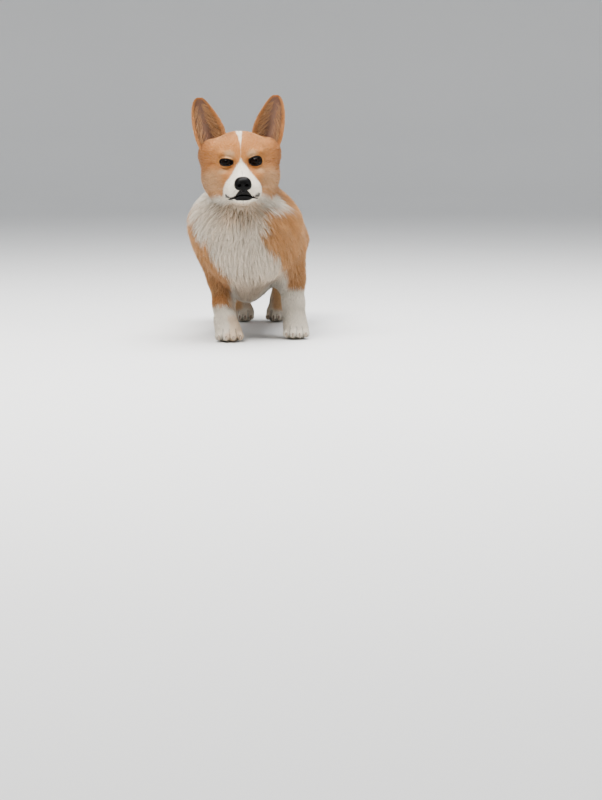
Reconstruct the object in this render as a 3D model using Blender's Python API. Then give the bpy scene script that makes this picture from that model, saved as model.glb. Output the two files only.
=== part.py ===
"""A Pembroke Welsh Corgi standing alert on the floor, life size, as a still model of closed solids.

The dog faces -Y, its left side is +X, and the floor is z = 0. All sizes are metres. The body is one field of
melted ellipsoids and limbs, meshed once and parted with thin flat cuts, so that each node meets the next face
to face. The ruff, bib, breeches and fringes are locks that follow the lie of the coat.
"""

import math

import bmesh
import bpy
import numpy as np
import openvdb
from mathutils import Matrix, Vector

# Driving sizes
WITHERS = 0.272
GAP = 0.0003
EYE_RADIUS = 0.0102
EYE_SIDE = 0.0258
EAR_HEIGHT = 0.090
FORE_PAW_WIDTH = 0.053
HIND_PAW_WIDTH = 0.044
CLAW_LENGTH = 0.0068

# Where the head is and how it is turned: the point between the eyes, then degrees
HEAD_AT = np.array([0.0046, -0.235, 0.329])
HEAD_TURN = 7.0
HEAD_TILT = -2.0
HEAD_NOD = 0.0

# The four soles: the middle of each paw on the floor, and the degrees it turns towards +X
RIGHT_FORE_SOLE = (-0.023, -0.182, 8.0)
LEFT_FORE_SOLE = (0.097, -0.127, 4.0)
RIGHT_HIND_SOLE = (-0.028, 0.203, -3.0)
LEFT_HIND_SOLE = (0.038, 0.203, 3.0)

SIDES = {"right": -1.0, "left": 1.0}


# Field tools: each takes points as an (n, 3) array and gives the distance to a form, negative inside


def ellipsoid(p, centre, radii, power=2.0):
    """Distance to an ellipsoid, or to a boxier one where power is over 2."""
    q = np.abs(p - np.asarray(centre)) / np.asarray(radii)
    size = (q**power).sum(axis=1) ** (1.0 / power)
    slope = np.linalg.norm(q ** (power - 1.0) / np.asarray(radii), axis=1)
    slope *= np.maximum(size, 1e-6) ** (1.0 - power)
    return (size - 1.0) / np.maximum(slope, 1e-6)


def limb(p, start, end, start_radius, end_radius, width=1.0):
    """Distance to a tapered limb with round ends, width times as wide along X as it is deep."""
    start, end = np.asarray(start), np.asarray(end)
    along = end - start
    share = np.clip(((p - start) @ along) / (along @ along), 0.0, 1.0)
    off = p - start - share[:, None] * along
    off[:, 0] /= width
    return np.linalg.norm(off, axis=1) - (start_radius + (end_radius - start_radius) * share)


def melt(a, b, soft):
    """The union of two fields, with a fillet about soft wide."""
    near = np.maximum(soft - np.abs(a - b), 0.0)
    return np.minimum(a, b) - near * near / (4.0 * soft)


def carve(a, b, soft):
    """Field a with field b cut out of it, with an edge about soft wide."""
    return -melt(-a, b, soft)


def turn_about(axis, degrees):
    return np.array(Matrix.Rotation(math.radians(degrees), 3, axis))


HEAD_AXES = turn_about("Z", HEAD_TURN) @ turn_about("Y", HEAD_TILT) @ turn_about("X", HEAD_NOD)


def to_head(p):
    return (p - HEAD_AT) @ HEAD_AXES


def from_head(p):
    return np.asarray(p) @ HEAD_AXES.T + HEAD_AT


# The head, in its own axes: the origin between the eyes, -Y out along the muzzle


def skull_field(p):
    """The head without its nose leather, eyes or ears. p is in the head's own axes, and the head is symmetric."""
    q = p.copy()
    q[:, 0] = np.abs(q[:, 0])
    field = ellipsoid(q, (0.0, 0.047, 0.004), (0.054, 0.056, 0.051), 2.3)
    field = melt(field, ellipsoid(q, (0.052, 0.046, 0.012), (0.025, 0.026, 0.030)), 0.016)
    field = melt(field, ellipsoid(q, (0.020, 0.017, 0.022), (0.026, 0.024, 0.023)), 0.012)
    field = melt(field, ellipsoid(q, (0.038, 0.042, -0.028), (0.035, 0.040, 0.036)), 0.020)
    field = melt(field, ellipsoid(q, (0.028, 0.034, -0.050), (0.030, 0.034, 0.024)), 0.020)
    field = melt(field, ellipsoid(q, (0.025, 0.008, -0.024), (0.019, 0.022, 0.015)), 0.012)
    field = melt(field, limb(q, (0.0, 0.006, -0.035), (0.0, -0.042, -0.0425), 0.028, 0.0195, 1.30), 0.012)
    field = melt(field, limb(q, (0.0, 0.004, -0.0145), (0.0, -0.050, -0.0315), 0.011, 0.0090), 0.010)
    jaw = limb(q, (0.0, 0.024, -0.060), (0.0, -0.0395, -0.0635), 0.0240, 0.0120, 1.35)
    field = melt(field, jaw, 0.005)
    field = melt(field, ellipsoid(q, (0.0175, -0.0300, -0.0505), (0.0168, 0.028, 0.0185), 2.3), 0.005)
    field = melt(field, ellipsoid(q, (0.0, -0.0455, -0.0480), (0.0180, 0.0175, 0.0125)), 0.006)
    hollow = ellipsoid(q, (0.0270, -0.0150, -0.001), (0.0170, 0.0100, 0.0115))
    field = carve(field, hollow, 0.008)
    return melt(field, ellipsoid(q, (0.0255, -0.0010, 0.0175), (0.0150, 0.0090, 0.0060)), 0.007)


# Half the opening of each eye, in degrees above and below its middle: the right one is half shut
LID_OPENING = {"right": (24.0, 24.0), "left": (38.0, 32.0)}
LID_DEPTH = 0.0021
EYE_OUTWARD = 12.0


def eye_centre(side):
    return np.array([EYE_SIDE * SIDES[side], -0.0010, 0.0])


def eye_axes(side):
    return turn_about("Z", EYE_OUTWARD * SIDES[side])


def lid_opening_field(q, side):
    """The opening between the lids, in the eye's own axes. The lids meet at the two corners."""
    above, below = (math.radians(a) for a in LID_OPENING[side])
    ahead = 0.0020 - q[:, 1]
    height = q[:, 2] - 0.10 * q[:, 0] * SIDES[side]
    upper = height * math.cos(above) - ahead * math.sin(above)
    lower = -height * math.cos(below) - ahead * math.sin(below)
    return np.maximum(upper, lower)


def add_lids(field, p, side):
    """The head with a shell of lids laid over the eyeball, and the opening cut through them."""
    q = (p - eye_centre(side)) @ eye_axes(side)
    reach = np.linalg.norm(q, axis=1)
    field = melt(field, reach - (EYE_RADIUS + LID_DEPTH), 0.0022)
    opening = np.maximum(lid_opening_field(q, side), np.abs(q[:, 0]) - 0.0112)
    opening = np.maximum(opening, reach - 0.0180)
    return carve(field, opening, 0.0010)


MOUTH_LEVEL = -0.0605
MOUTH_CORNER = 0.0290
MOUTH_CUT = 0.0050


def mouth_field(p):
    """The slit between the lips: highest below the nose, lower at the sides, and ending at the corners."""
    side = np.abs(p[:, 0])
    wave = 0.0026 * np.cos(np.minimum(side / MOUTH_CORNER, 1.0) * math.pi)
    level = MOUTH_LEVEL + wave - 0.10 * np.maximum(p[:, 1] + 0.030, 0.0)
    slit = np.abs(p[:, 2] - level) - 0.0011
    return np.maximum(slit, p[:, 1] + 0.0060)


def head_field(p):
    """The head as a solid, before the eyes, nose and ears are fitted."""
    plain = skull_field(p)
    field = plain
    for side in SIDES:
        field = add_lids(field, p, side)
    field = carve(field, np.maximum(mouth_field(p), -(plain + MOUTH_CUT)), 0.0010)
    groove = limb(p, (0.0, -0.070, -0.048), (0.0, -0.065, -0.058), 0.0016, 0.0016)
    return carve(field, groove, 0.0015)


def nose_leather_field(p):
    """The outer form of the nose leather: broad above, with a wing on each side and a short foot."""
    q = p.copy()
    q[:, 0] = np.abs(q[:, 0])
    field = ellipsoid(q, (0.0, -0.0570, -0.0372), (0.0145, 0.0120, 0.0114), 2.4)
    field = melt(field, ellipsoid(q, (0.0080, -0.0595, -0.0410), (0.0062, 0.0095, 0.0070)), 0.004)
    return melt(field, limb(q, (0.0, -0.0605, -0.0450), (0.0, -0.0605, -0.0500), 0.0055, 0.0035), 0.004)


def nose_field(p):
    """The nose leather with its two comma nostrils and the groove down its middle."""
    q = p.copy()
    q[:, 0] = np.abs(q[:, 0])
    nostril = ellipsoid(q, (0.0062, -0.0700, -0.0405), (0.0031, 0.0060, 0.0028))
    slot = limb(q, (0.0080, -0.0685, -0.0415), (0.0140, -0.0640, -0.0435), 0.0013, 0.0009)
    field = carve(nose_leather_field(p), melt(nostril, slot, 0.001), 0.0012)
    groove = limb(q, (0.0, -0.0715, -0.0410), (0.0, -0.0685, -0.0520), 0.0009, 0.0009)
    return carve(field, groove, 0.0010)


# Each ear as a cupped blade: points along its middle line in the head's axes (x outward), then half its
# width, how far the cup is rolled in degrees, its thickness, and the drop of its outer side, root to tip
EAR_RIBS = (
    ((0.0430, 0.0440, 0.0160), 0.0195, 80.0, 0.0080, 0.60),
    ((0.0480, 0.0440, 0.0340), 0.0240, 76.0, 0.0064, 0.52),
    ((0.0530, 0.0440, 0.0520), 0.0262, 68.0, 0.0050, 0.42),
    ((0.0580, 0.0435, 0.0700), 0.0250, 58.0, 0.0041, 0.32),
    ((0.0620, 0.0425, 0.0860), 0.0218, 48.0, 0.0036, 0.22),
    ((0.0648, 0.0410, 0.0990), 0.0176, 38.0, 0.0032, 0.12),
    ((0.0662, 0.0398, 0.1080), 0.0131, 29.0, 0.0029, 0.06),
    ((0.0668, 0.0390, 0.1135), 0.0088, 21.0, 0.0026, 0.02),
    ((0.0670, 0.0385, 0.1162), 0.0046, 14.0, 0.0022, 0.00),
)
EAR_TWIST = 10.0


def ear_point(side, along, across, depth):
    """A point of an ear: along runs 0 to 1 up it, across -1 to 1 over it, depth is 1 in front, -1 behind."""
    step = along * (len(EAR_RIBS) - 1)
    first = min(int(step), len(EAR_RIBS) - 2)
    share = step - first
    low, high = EAR_RIBS[first], EAR_RIBS[first + 1]
    middle = np.asarray(low[0]) * (1.0 - share) + np.asarray(high[0]) * share
    half, roll, thick, drop = (low[i] * (1.0 - share) + high[i] * share for i in (1, 2, 3, 4))
    roll = math.radians(roll)
    angle = roll * across
    round_off = math.sqrt(max(1.0 - abs(across) ** 5, 0.0))
    radius = half / math.sin(min(roll, math.pi / 2.0)) + 0.5 * thick * (-depth) * round_off
    out = np.array([radius * math.sin(angle), radius * (math.cos(angle) - 0.5), 0.0])
    out = turn_about("Z", -EAR_TWIST) @ out
    out[2] = -drop * out[0]
    point = middle + out
    point[0] *= SIDES[side]
    return from_head(point)


def ear_mesh(side, across_steps=11, along_steps=10, extra=0.0):
    """A closed ear: the cup, the back, and the rim that joins them, its thickness grown by extra."""
    rings = []
    for i in range(along_steps + 1):
        along = i / along_steps
        ring = []
        for face in (1.0, -1.0):
            for j in range(across_steps):
                across = (-1.0 + 2.0 * j / across_steps) * face
                ring.append(ear_point(side, along, across, face * (1.0 + extra)))
        rings.append(ring)
    return rings_mesh("ear_" + side, rings)


def rings_mesh(name, rings):
    """A closed skin over rings of points, with a fan of faces at each end."""
    count = len(rings[0])
    form = bmesh.new()
    loops = [[form.verts.new(tuple(point)) for point in ring] for ring in rings]
    for low, high in zip(loops, loops[1:]):
        for j in range(count):
            k = (j + 1) % count
            form.faces.new((low[j], low[k], high[k]))
            form.faces.new((low[j], high[k], high[j]))
    for ring, loop in ((rings[0], loops[0]), (rings[-1], loops[-1])):
        centre = form.verts.new(tuple(np.mean(ring, axis=0)))
        for j in range(count):
            form.faces.new((centre, loop[j], loop[(j + 1) % count]))
    bmesh.ops.recalc_face_normals(form, faces=form.faces)
    mesh = bpy.data.meshes.new(name)
    form.to_mesh(mesh)
    form.free()
    return mesh


# The body


def paw_field(p, sole, width):
    """A paw with four toes. sole is its place on the floor and its turn."""
    x, y, turn = sole
    q = (p - np.array([x, y, 0.0])) @ turn_about("Z", turn)
    field = ellipsoid(q, (0.0, 0.008, 0.017), (0.43 * width, 0.44 * width, 0.020))
    for across, ahead, lift in ((-0.37, -0.10, 0.0), (-0.125, -0.30, 0.001), (0.125, -0.30, 0.001), (0.37, -0.10, 0.0)):
        knuckle = (across * 0.72 * width, (ahead + 0.28) * width, 0.0185 + lift)
        tip = (across * width, (ahead - 0.12) * width, 0.0105)
        toe = limb(q, knuckle, tip, 0.158 * width, 0.142 * width)
        field = melt(field, toe, 0.0020)
    return field


# Each foreleg from the shoulder down: points on its middle line, then the radius there
RIGHT_FORELEG = (
    ((-0.050, -0.112, 0.160), 0.034),
    ((-0.042, -0.116, 0.112), 0.0262),
    ((-0.036, -0.148, 0.066), 0.0195),
    ((-0.031, -0.166, 0.036), 0.0195),
    ((-0.025, -0.176, 0.020), 0.0195),
)
LEFT_FORELEG = (
    ((0.074, -0.100, 0.160), 0.038),
    ((0.086, -0.099, 0.112), 0.0270),
    ((0.091, -0.110, 0.066), 0.0200),
    ((0.094, -0.117, 0.036), 0.0192),
    ((0.096, -0.122, 0.020), 0.0190),
)
# Each hind leg from the thigh to the foot
HINDLEG = (
    ((0.060, 0.195, 0.165), 0.046),
    ((0.057, 0.205, 0.122), 0.032),
    ((0.048, 0.228, 0.088), 0.0190),
    ((0.041, 0.224, 0.044), 0.0155),
    ((0.036, 0.214, 0.020), 0.0168),
)
RIGHT_HIND_SHIFT = 0.008


def leg_field(p, points, soft=0.012):
    field = None
    for (start, start_radius), (end, end_radius) in zip(points, points[1:]):
        length = limb(p, start, end, start_radius, end_radius)
        field = length if field is None else melt(field, length, soft)
    return field


def hindleg_points(side):
    """The hind leg on one side. The right foot stands a little nearer the middle."""
    points = []
    for (x, y, z), radius in HINDLEG:
        inward = RIGHT_HIND_SHIFT * (1.0 - z / 0.165) if side == "right" else 0.0
        points.append(((SIDES[side] * (x - inward), y, z), radius))
    return tuple(points)


def forelegs_field(p):
    field = melt(leg_field(p, RIGHT_FORELEG), paw_field(p, RIGHT_FORE_SOLE, FORE_PAW_WIDTH), 0.012)
    left = melt(leg_field(p, LEFT_FORELEG), paw_field(p, LEFT_FORE_SOLE, 0.94 * FORE_PAW_WIDTH), 0.012)
    return np.minimum(field, left)


def hindlegs_field(p):
    right = melt(leg_field(p, hindleg_points("right")), paw_field(p, RIGHT_HIND_SOLE, HIND_PAW_WIDTH), 0.010)
    left = melt(leg_field(p, hindleg_points("left")), paw_field(p, LEFT_HIND_SOLE, HIND_PAW_WIDTH), 0.010)
    return np.minimum(right, left)


def torso_field(p):
    """Chest, ribs, loin and hips, with the shoulders and thighs."""
    field = ellipsoid(p, (0.008, -0.105, 0.186), (0.084, 0.110, 0.078), 2.4)
    field = melt(field, ellipsoid(p, (0.005, -0.102, 0.118), (0.042, 0.082, 0.054)), 0.030)
    field = melt(field, ellipsoid(p, (0.002, 0.000, 0.176), (0.092, 0.160, 0.092), 2.5), 0.030)
    field = melt(field, ellipsoid(p, (0.000, 0.110, 0.181), (0.084, 0.125, 0.083), 2.5), 0.030)
    field = melt(field, ellipsoid(p, (0.000, 0.172, 0.184), (0.083, 0.078, 0.080), 2.5), 0.030)
    field = melt(field, ellipsoid(p, (-0.056, -0.108, 0.202), (0.041, 0.060, 0.056)), 0.025)
    field = melt(field, ellipsoid(p, (0.070, -0.104, 0.176), (0.038, 0.060, 0.070)), 0.025)
    field = melt(field, ellipsoid(p, (0.0, -0.085, 0.236), (0.046, 0.060, 0.036)), 0.030)
    for side in SIDES.values():
        field = melt(field, ellipsoid(p, (0.058 * side, 0.146, 0.158), (0.038, 0.066, 0.070)), 0.025)
    return field


def neck_field(p):
    """The neck with the outline of its ruff, and the forechest with its bib."""
    field = limb(p, (0.003, -0.125, 0.225), (0.0046, -0.172, 0.306), 0.076, 0.056)
    field = melt(field, ellipsoid(p, (0.002, -0.132, 0.216), (0.098, 0.080, 0.058), 2.3), 0.030)
    return melt(field, ellipsoid(p, (0.008, -0.168, 0.182), (0.072, 0.064, 0.078), 2.2), 0.030)


def body_field(p):
    """The whole dog but for its nose, eyes, ears and tail."""
    field = melt(torso_field(p), neck_field(p), 0.035)
    field = melt(field, forelegs_field(p), 0.022)
    field = melt(field, hindlegs_field(p), 0.020)
    return melt(field, head_field(to_head(p)), 0.020)


# Where locks stand, and how far the dense core of the coat lies inside their tips there
LOCK_ZONES = (
    ((0.004, -0.160, 0.222), (0.160, 0.105, 0.112), 0.0070),
    ((0.000, 0.020, 0.062), (0.075, 0.135, 0.046), 0.0050),
    ((0.052, 0.248, 0.135), (0.058, 0.044, 0.075), 0.0050),
    ((-0.052, 0.248, 0.135), (0.058, 0.044, 0.075), 0.0050),
)


def core_inset(p):
    """How far the core lies below the outline of the coat."""
    depth = np.zeros(len(p))
    for centre, radii, inset in LOCK_ZONES:
        reach = np.linalg.norm((p - np.asarray(centre)) / np.asarray(radii), axis=1)
        share = np.clip((1.0 - reach) / 0.35, 0.0, 1.0)
        depth = np.maximum(depth, inset * share * share * (3.0 - 2.0 * share))
    return depth


def core_field(p):
    """The dog as solid as its coat is: the body with the zones of locks drawn in."""
    return body_field(p) + core_inset(p)


# The lie of the coat: a place on the outward side, then the way the coat runs there (x outward)
COAT_RUNS = (
    ((0.060, -0.150, 0.290), (0.25, 0.55, -0.80)),
    ((0.000, -0.100, 0.300), (0.00, 0.85, -0.50)),
    ((0.000, -0.215, 0.235), (0.00, -0.10, -1.00)),
    ((0.050, -0.200, 0.240), (0.30, 0.15, -0.95)),
    ((0.000, -0.235, 0.180), (0.00, -0.05, -1.00)),
    ((0.060, -0.210, 0.170), (0.12, 0.15, -1.00)),
    ((0.090, -0.130, 0.230), (0.10, 0.55, -0.80)),
    ((0.020, -0.190, 0.110), (0.00, 0.25, -1.00)),
    ((0.105, -0.090, 0.170), (0.00, 0.50, -0.85)),
    ((0.100, 0.020, 0.170), (0.00, 0.80, -0.55)),
    ((0.060, 0.020, 0.100), (0.00, 0.65, -0.70)),
    ((0.000, 0.000, 0.080), (0.00, 0.70, -0.60)),
    ((0.000, 0.050, 0.270), (0.00, 1.00, -0.05)),
    ((0.095, 0.150, 0.170), (0.00, 0.60, -0.80)),
    ((0.050, 0.240, 0.160), (0.05, 0.25, -0.95)),
    ((0.000, 0.250, 0.230), (0.00, 0.90, -0.40)),
    ((0.045, 0.220, 0.100), (0.00, 0.20, -1.00)),
    ((0.078, -0.175, 0.290), (0.20, 0.75, -0.60)),
)


def coat_run(p):
    """The way the coat runs at each point, from the runs nearest to it."""
    q = p.copy()
    q[:, 0] = np.abs(q[:, 0])
    run = np.zeros_like(p)
    for place, way in COAT_RUNS:
        near = np.linalg.norm(q - np.asarray(place), axis=1)
        run += np.asarray(way)[None, :] / (near[:, None] ** 3 + 0.00002)
    run[:, 0] *= np.sign(p[:, 0])
    return run / np.linalg.norm(run, axis=1)[:, None]


def outward(field, p, step=0.0008):
    """The outward normal of a field at each point."""
    slope = np.empty_like(p)
    for axis in range(3):
        shift = np.zeros(3)
        shift[axis] = step
        slope[:, axis] = field(p + shift) - field(p - shift)
    return slope / np.maximum(np.linalg.norm(slope, axis=1), 1e-9)[:, None]


def onto(field, p, times=4):
    """Each point moved onto the field's surface."""
    for _ in range(times):
        p = p - outward(field, p) * field(p)[:, None]
    return p


# Meshes from fields


def grid_points(low, high, cell):
    axes = [np.arange(a, b + cell, cell) for a, b in zip(low, high)]
    return np.stack(np.meshgrid(*axes, indexing="ij"), axis=-1), [len(a) for a in axes]


def mesh_from_field(name, field, low, high, cell, coarse=4):
    """A closed mesh of a field. Far from the surface only every coarse-th grid point is worked out."""
    band = 2.5 * cell * coarse
    blocks, counts = grid_points(low, high, cell * coarse)
    rough = field(blocks.reshape(-1, 3)).reshape(counts)
    values = np.repeat(np.repeat(np.repeat(rough, coarse, 0), coarse, 1), coarse, 2)
    near = np.abs(values) < band
    fine = (np.argwhere(near) * cell) + np.asarray(low)
    values[near] = field(fine)
    grid = openvdb.FloatGrid(background=band)
    grid.copyFromArray(np.clip(values, -band, band).astype(np.float32))
    points, quads = grid.convertToQuads(0.0)
    mesh = bpy.data.meshes.new(name)
    mesh.from_pydata((points * cell + np.asarray(low)).tolist(), [], quads.tolist())
    mesh.update()
    return mesh


def object_from_mesh(mesh):
    made = bpy.data.objects.new(mesh.name, mesh)
    bpy.context.scene.collection.objects.link(made)
    return made


def apply_modifiers(made):
    """The object with its modifiers worked into its mesh."""
    graph = bpy.context.evaluated_depsgraph_get()
    mesh = bpy.data.meshes.new_from_object(made.evaluated_get(graph))
    made.modifiers.clear()
    old = made.data
    made.data = mesh
    bpy.data.meshes.remove(old)
    mesh.name = made.name


def thin_out(made, triangles):
    """The mesh brought down to about a number of triangles, keeping its curves."""
    count = sum(len(face.vertices) - 2 for face in made.data.polygons)
    modifier = made.modifiers.new("thin_out", "DECIMATE")
    modifier.ratio = min(1.0, triangles / count)
    apply_modifiers(made)


def solid_from_field(name, field, low, high, cell, triangles):
    made = object_from_mesh(mesh_from_field(name, field, low, high, cell))
    thin_out(made, triangles)
    tidy_solid(made)
    return made


def boolean(made, cutter, operation):
    """One Boolean worked into made. The cutter is used up."""
    modifier = made.modifiers.new("boolean", "BOOLEAN")
    modifier.operation = operation
    modifier.solver = "EXACT"
    modifier.object = cutter
    apply_modifiers(made)
    remove_object(cutter)


def remove_object(made):
    mesh = made.data
    bpy.data.objects.remove(made)
    bpy.data.meshes.remove(mesh)


def box_object(low, high, grow=0.0):
    """A box with its faces on the given bounds, grown outward by grow."""
    low = np.asarray(low, dtype=float) - grow
    high = np.asarray(high, dtype=float) + grow
    mesh = bpy.data.meshes.new("box")
    form = bmesh.new()
    bmesh.ops.create_cube(form, size=1.0)
    for vertex in form.verts:
        vertex.co = Vector([(low[i] + high[i]) / 2.0 + vertex.co[i] * (high[i] - low[i]) for i in range(3)])
    bmesh.ops.triangulate(form, faces=form.faces)
    form.to_mesh(mesh)
    form.free()
    return object_from_mesh(mesh)


def half_space(point, normal, back=0.0):
    """A large block whose one face lies on a plane, on the side the normal points to, set back from it."""
    block = box_object((-0.6, -0.6, 0.0), (0.6, 0.6, 1.2))
    turn = Vector(normal).normalized().to_track_quat("Z", "X").to_matrix().to_4x4()
    offset = Vector(point) + Vector(normal).normalized() * back
    block.data.transform(Matrix.Translation(offset) @ turn)
    return block


def tidy_solid(made):
    """The largest closed piece of a solid, with doubled points and slivers cleaned away."""
    form = bmesh.new()
    form.from_mesh(made.data)
    bmesh.ops.remove_doubles(form, verts=form.verts, dist=0.00002)
    bmesh.ops.dissolve_degenerate(form, edges=form.edges, dist=0.00002)
    bmesh.ops.triangulate(form, faces=form.faces)
    groups = face_groups(form)
    largest = max(groups, key=len)
    spare = [face for group in groups if group is not largest for face in group]
    bmesh.ops.delete(form, geom=spare, context="FACES")
    loose = [vertex for vertex in form.verts if not vertex.link_faces]
    bmesh.ops.delete(form, geom=loose, context="VERTS")
    bmesh.ops.recalc_face_normals(form, faces=form.faces)
    form.to_mesh(made.data)
    form.free()


def face_groups(form):
    """The faces of each connected piece."""
    seen = set()
    groups = []
    for start in form.faces:
        if start in seen:
            continue
        seen.add(start)
        stack = [start]
        group = []
        while stack:
            face = stack.pop()
            group.append(face)
            for edge in face.edges:
                for other in edge.link_faces:
                    if other not in seen:
                        seen.add(other)
                        stack.append(other)
        groups.append(group)
    return groups


def finish(made, name, colour, roughness):
    """The node's own name and material, and one closed triangulated mesh."""
    tidy_solid(made)
    made.name = name
    made.data.name = name
    material = bpy.data.materials.new(name + "_surface")
    material.use_nodes = True
    shader = material.node_tree.nodes["Principled BSDF"]
    shader.inputs["Base Color"].default_value = (*colour, 1.0)
    shader.inputs["Roughness"].default_value = roughness
    made.data.materials.clear()
    made.data.materials.append(material)
    return made


# Colours, as linear red, green and blue
GINGER = (0.56, 0.32, 0.14)
WHITE = (0.78, 0.74, 0.66)
CREAM = (0.66, 0.52, 0.36)
PINK_BROWN = (0.42, 0.25, 0.18)
BLACK = (0.02, 0.018, 0.017)
DARK_BROWN = (0.05, 0.022, 0.012)

# The cuts that part the body. Each plane is a point and the way towards the head
HEAD_PLANE = ((0.0, -0.196, 0.266), (0.0, -0.66, 0.75))
NECK_PLANE = ((0.0, -0.190, 0.128), (0.0, -0.74, 0.67))
FORELEG_TOP = 0.118
FOREPAW_TOP = 0.036
THIGH_TOP = 0.190
HOCK_TOP = 0.080
HINDPAW_TOP = 0.033
BRISKET_LEVEL = 0.052
FAR = 0.4
# Where the chest meets each foreleg, and the rump each thigh: the sideways place, then the lengthwise range
FORELEG_SEATS = {"right": (-0.0215, -FAR, -0.078), "left": (0.0560, -FAR, -0.064)}
THIGH_SEATS = {"right": (-0.0240, 0.086, FAR), "left": (0.0240, 0.086, FAR)}


def beside(side, x, near_y, far_y, bottom, top):
    """The bounds of a box that lies outward of x on one side."""
    if side == "right":
        return (-FAR, near_y, bottom), (x, far_y, top)
    return (x, near_y, bottom), (FAR, far_y, top)


def make_head():
    """The head, with seats for the nose, the eyes and the ears."""
    low, high = (-0.090, -0.330, 0.225), (0.098, -0.100, 0.400)
    head = solid_from_field("head", core_field, low, high, 0.0012, 2500)
    boolean(head, half_space(*HEAD_PLANE), "INTERSECT")
    centre = from_head((0.0, -0.061, -0.042))
    seat = solid_from_field(
        "seat", lambda p: nose_leather_field(to_head(p)) - 0.0007, centre - 0.026, centre + 0.026, 0.0010, 360
    )
    boolean(head, seat, "DIFFERENCE")
    for side in SIDES:
        boolean(head, eyeball(side, EYE_RADIUS + GAP), "DIFFERENCE")
        boolean(head, object_from_mesh(ear_mesh(side, extra=0.25)), "DIFFERENCE")
    tidy_solid(head)
    add_locks(head, core_field, HEAD_LOCKS, 15, cheek_lock_places)
    return finish(head, "head", GINGER, 0.85)


def cheek_lock_places(p):
    """The backs of the cheeks, below the ears."""
    q = to_head(p)
    outside = np.abs(core_field(p)) < 0.0012
    cheek = (np.abs(q[:, 0]) > 0.040) & (q[:, 2] > -0.062) & (q[:, 2] < -0.012) & (q[:, 1] > 0.022)
    return outside & cheek & (ahead_of(HEAD_PLANE, p) > 0.019)


def eyeball(side, radius):
    mesh = bpy.data.meshes.new("eye_" + side)
    form = bmesh.new()
    bmesh.ops.create_icosphere(form, subdivisions=3, radius=radius)
    turn = Matrix(HEAD_AXES.tolist()).to_4x4()
    bmesh.ops.transform(form, matrix=turn, verts=form.verts)
    bmesh.ops.translate(form, vec=Vector(from_head(eye_centre(side))), verts=form.verts)
    form.to_mesh(mesh)
    form.free()
    return object_from_mesh(mesh)


def make_eye(side):
    eye = eyeball(side, EYE_RADIUS)
    thin_out(eye, 420)
    return finish(eye, "eye_" + side, DARK_BROWN, 0.15)


def make_nose():
    centre = from_head((0.0, -0.061, -0.042))
    nose = solid_from_field(
        "nose", lambda p: nose_field(to_head(p)), centre - 0.026, centre + 0.026, 0.0006, 640
    )
    return finish(nose, "nose", BLACK, 0.45)


def make_ear(side):
    ear = object_from_mesh(ear_mesh(side))
    return finish(ear, "ear_" + side, PINK_BROWN, 0.85)


def make_neck():
    low, high = (-0.150, -0.280, 0.080), (0.155, -0.010, 0.400)
    neck = solid_from_field("neck", core_field, low, high, 0.0030, 1100)
    point, normal = HEAD_PLANE
    boolean(neck, half_space(point, [-n for n in normal], GAP), "INTERSECT")
    boolean(neck, half_space(*NECK_PLANE), "INTERSECT")
    tidy_solid(neck)
    add_locks(neck, core_field, NECK_LOCKS, 11, neck_lock_places)
    return finish(neck, "neck", WHITE, 0.9)


def neck_lock_places(p):
    """The sides and front of the neck and the chest, clear of the cuts above and below."""
    outside = np.abs(core_field(p)) < 0.0012
    return outside & (ahead_of(HEAD_PLANE, p) < -0.018) & (ahead_of(NECK_PLANE, p) > 0.021)


def make_torso():
    """The chest, ribs, loin and rump, with the four legs and the tail cut away."""
    low, high = (-0.135, -0.270, 0.030), (0.145, 0.280, 0.330)
    torso = solid_from_field("torso", core_field, low, high, 0.0035, 1800)
    point, normal = NECK_PLANE
    boolean(torso, half_space(point, [-n for n in normal], GAP), "INTERSECT")
    boolean(torso, box_object((-FAR, -FAR, -FAR), (FAR, FAR, BRISKET_LEVEL), grow=GAP), "DIFFERENCE")
    for side in SIDES:
        foreleg = beside(side, *FORELEG_SEATS[side], -FAR, FORELEG_TOP)
        thigh = beside(side, *THIGH_SEATS[side], -FAR, THIGH_TOP)
        boolean(torso, box_object(*foreleg, grow=GAP), "DIFFERENCE")
        boolean(torso, box_object(*thigh, grow=GAP), "DIFFERENCE")
    boolean(torso, tail_solid("seat", 0.0006), "DIFFERENCE")
    tidy_solid(torso)
    add_locks(torso, core_field, BELLY_LOCKS, 12, belly_lock_places)
    return finish(torso, "torso", GINGER, 0.9)


def belly_lock_places(p):
    """The underside between the legs."""
    outside = np.abs(core_field(p)) < 0.0012
    low = outward(core_field, p)[:, 2] < -0.35
    return outside & low & (p[:, 1] > -0.045) & (p[:, 1] < 0.050) & (np.abs(p[:, 0]) < 0.075)


def tail_solid(name, grow):
    low, high = (-0.060, 0.180, 0.160), (0.060, 0.320, 0.290)
    return solid_from_field(name, lambda p: tail_field(p) - grow, low, high, 0.0020, 260)


def tail_field(p):
    """The short docked tail under its tuft of fur."""
    return limb(p, (0.0, 0.222, 0.226), (0.0, 0.256, 0.212), 0.0180, 0.0110)


def make_tail():
    """The tail's stub with a tuft of locks that run to its end."""
    tail = tail_solid("tail", 0.0)
    add_locks(tail, tail_field, TAIL_LOCKS, 16, tail_lock_places)
    return finish(tail, "tail", CREAM, 0.9)


def tail_lock_places(p):
    return (body_field(p) > 0.006) & (p[:, 1] < 0.262)


def leg_piece(low, high, cell, triangles, bounds):
    """The part of the body inside a leg's bounds."""
    piece = solid_from_field("leg", core_field, low, high, cell, triangles)
    boolean(piece, box_object(*bounds), "INTERSECT")
    return piece


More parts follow.
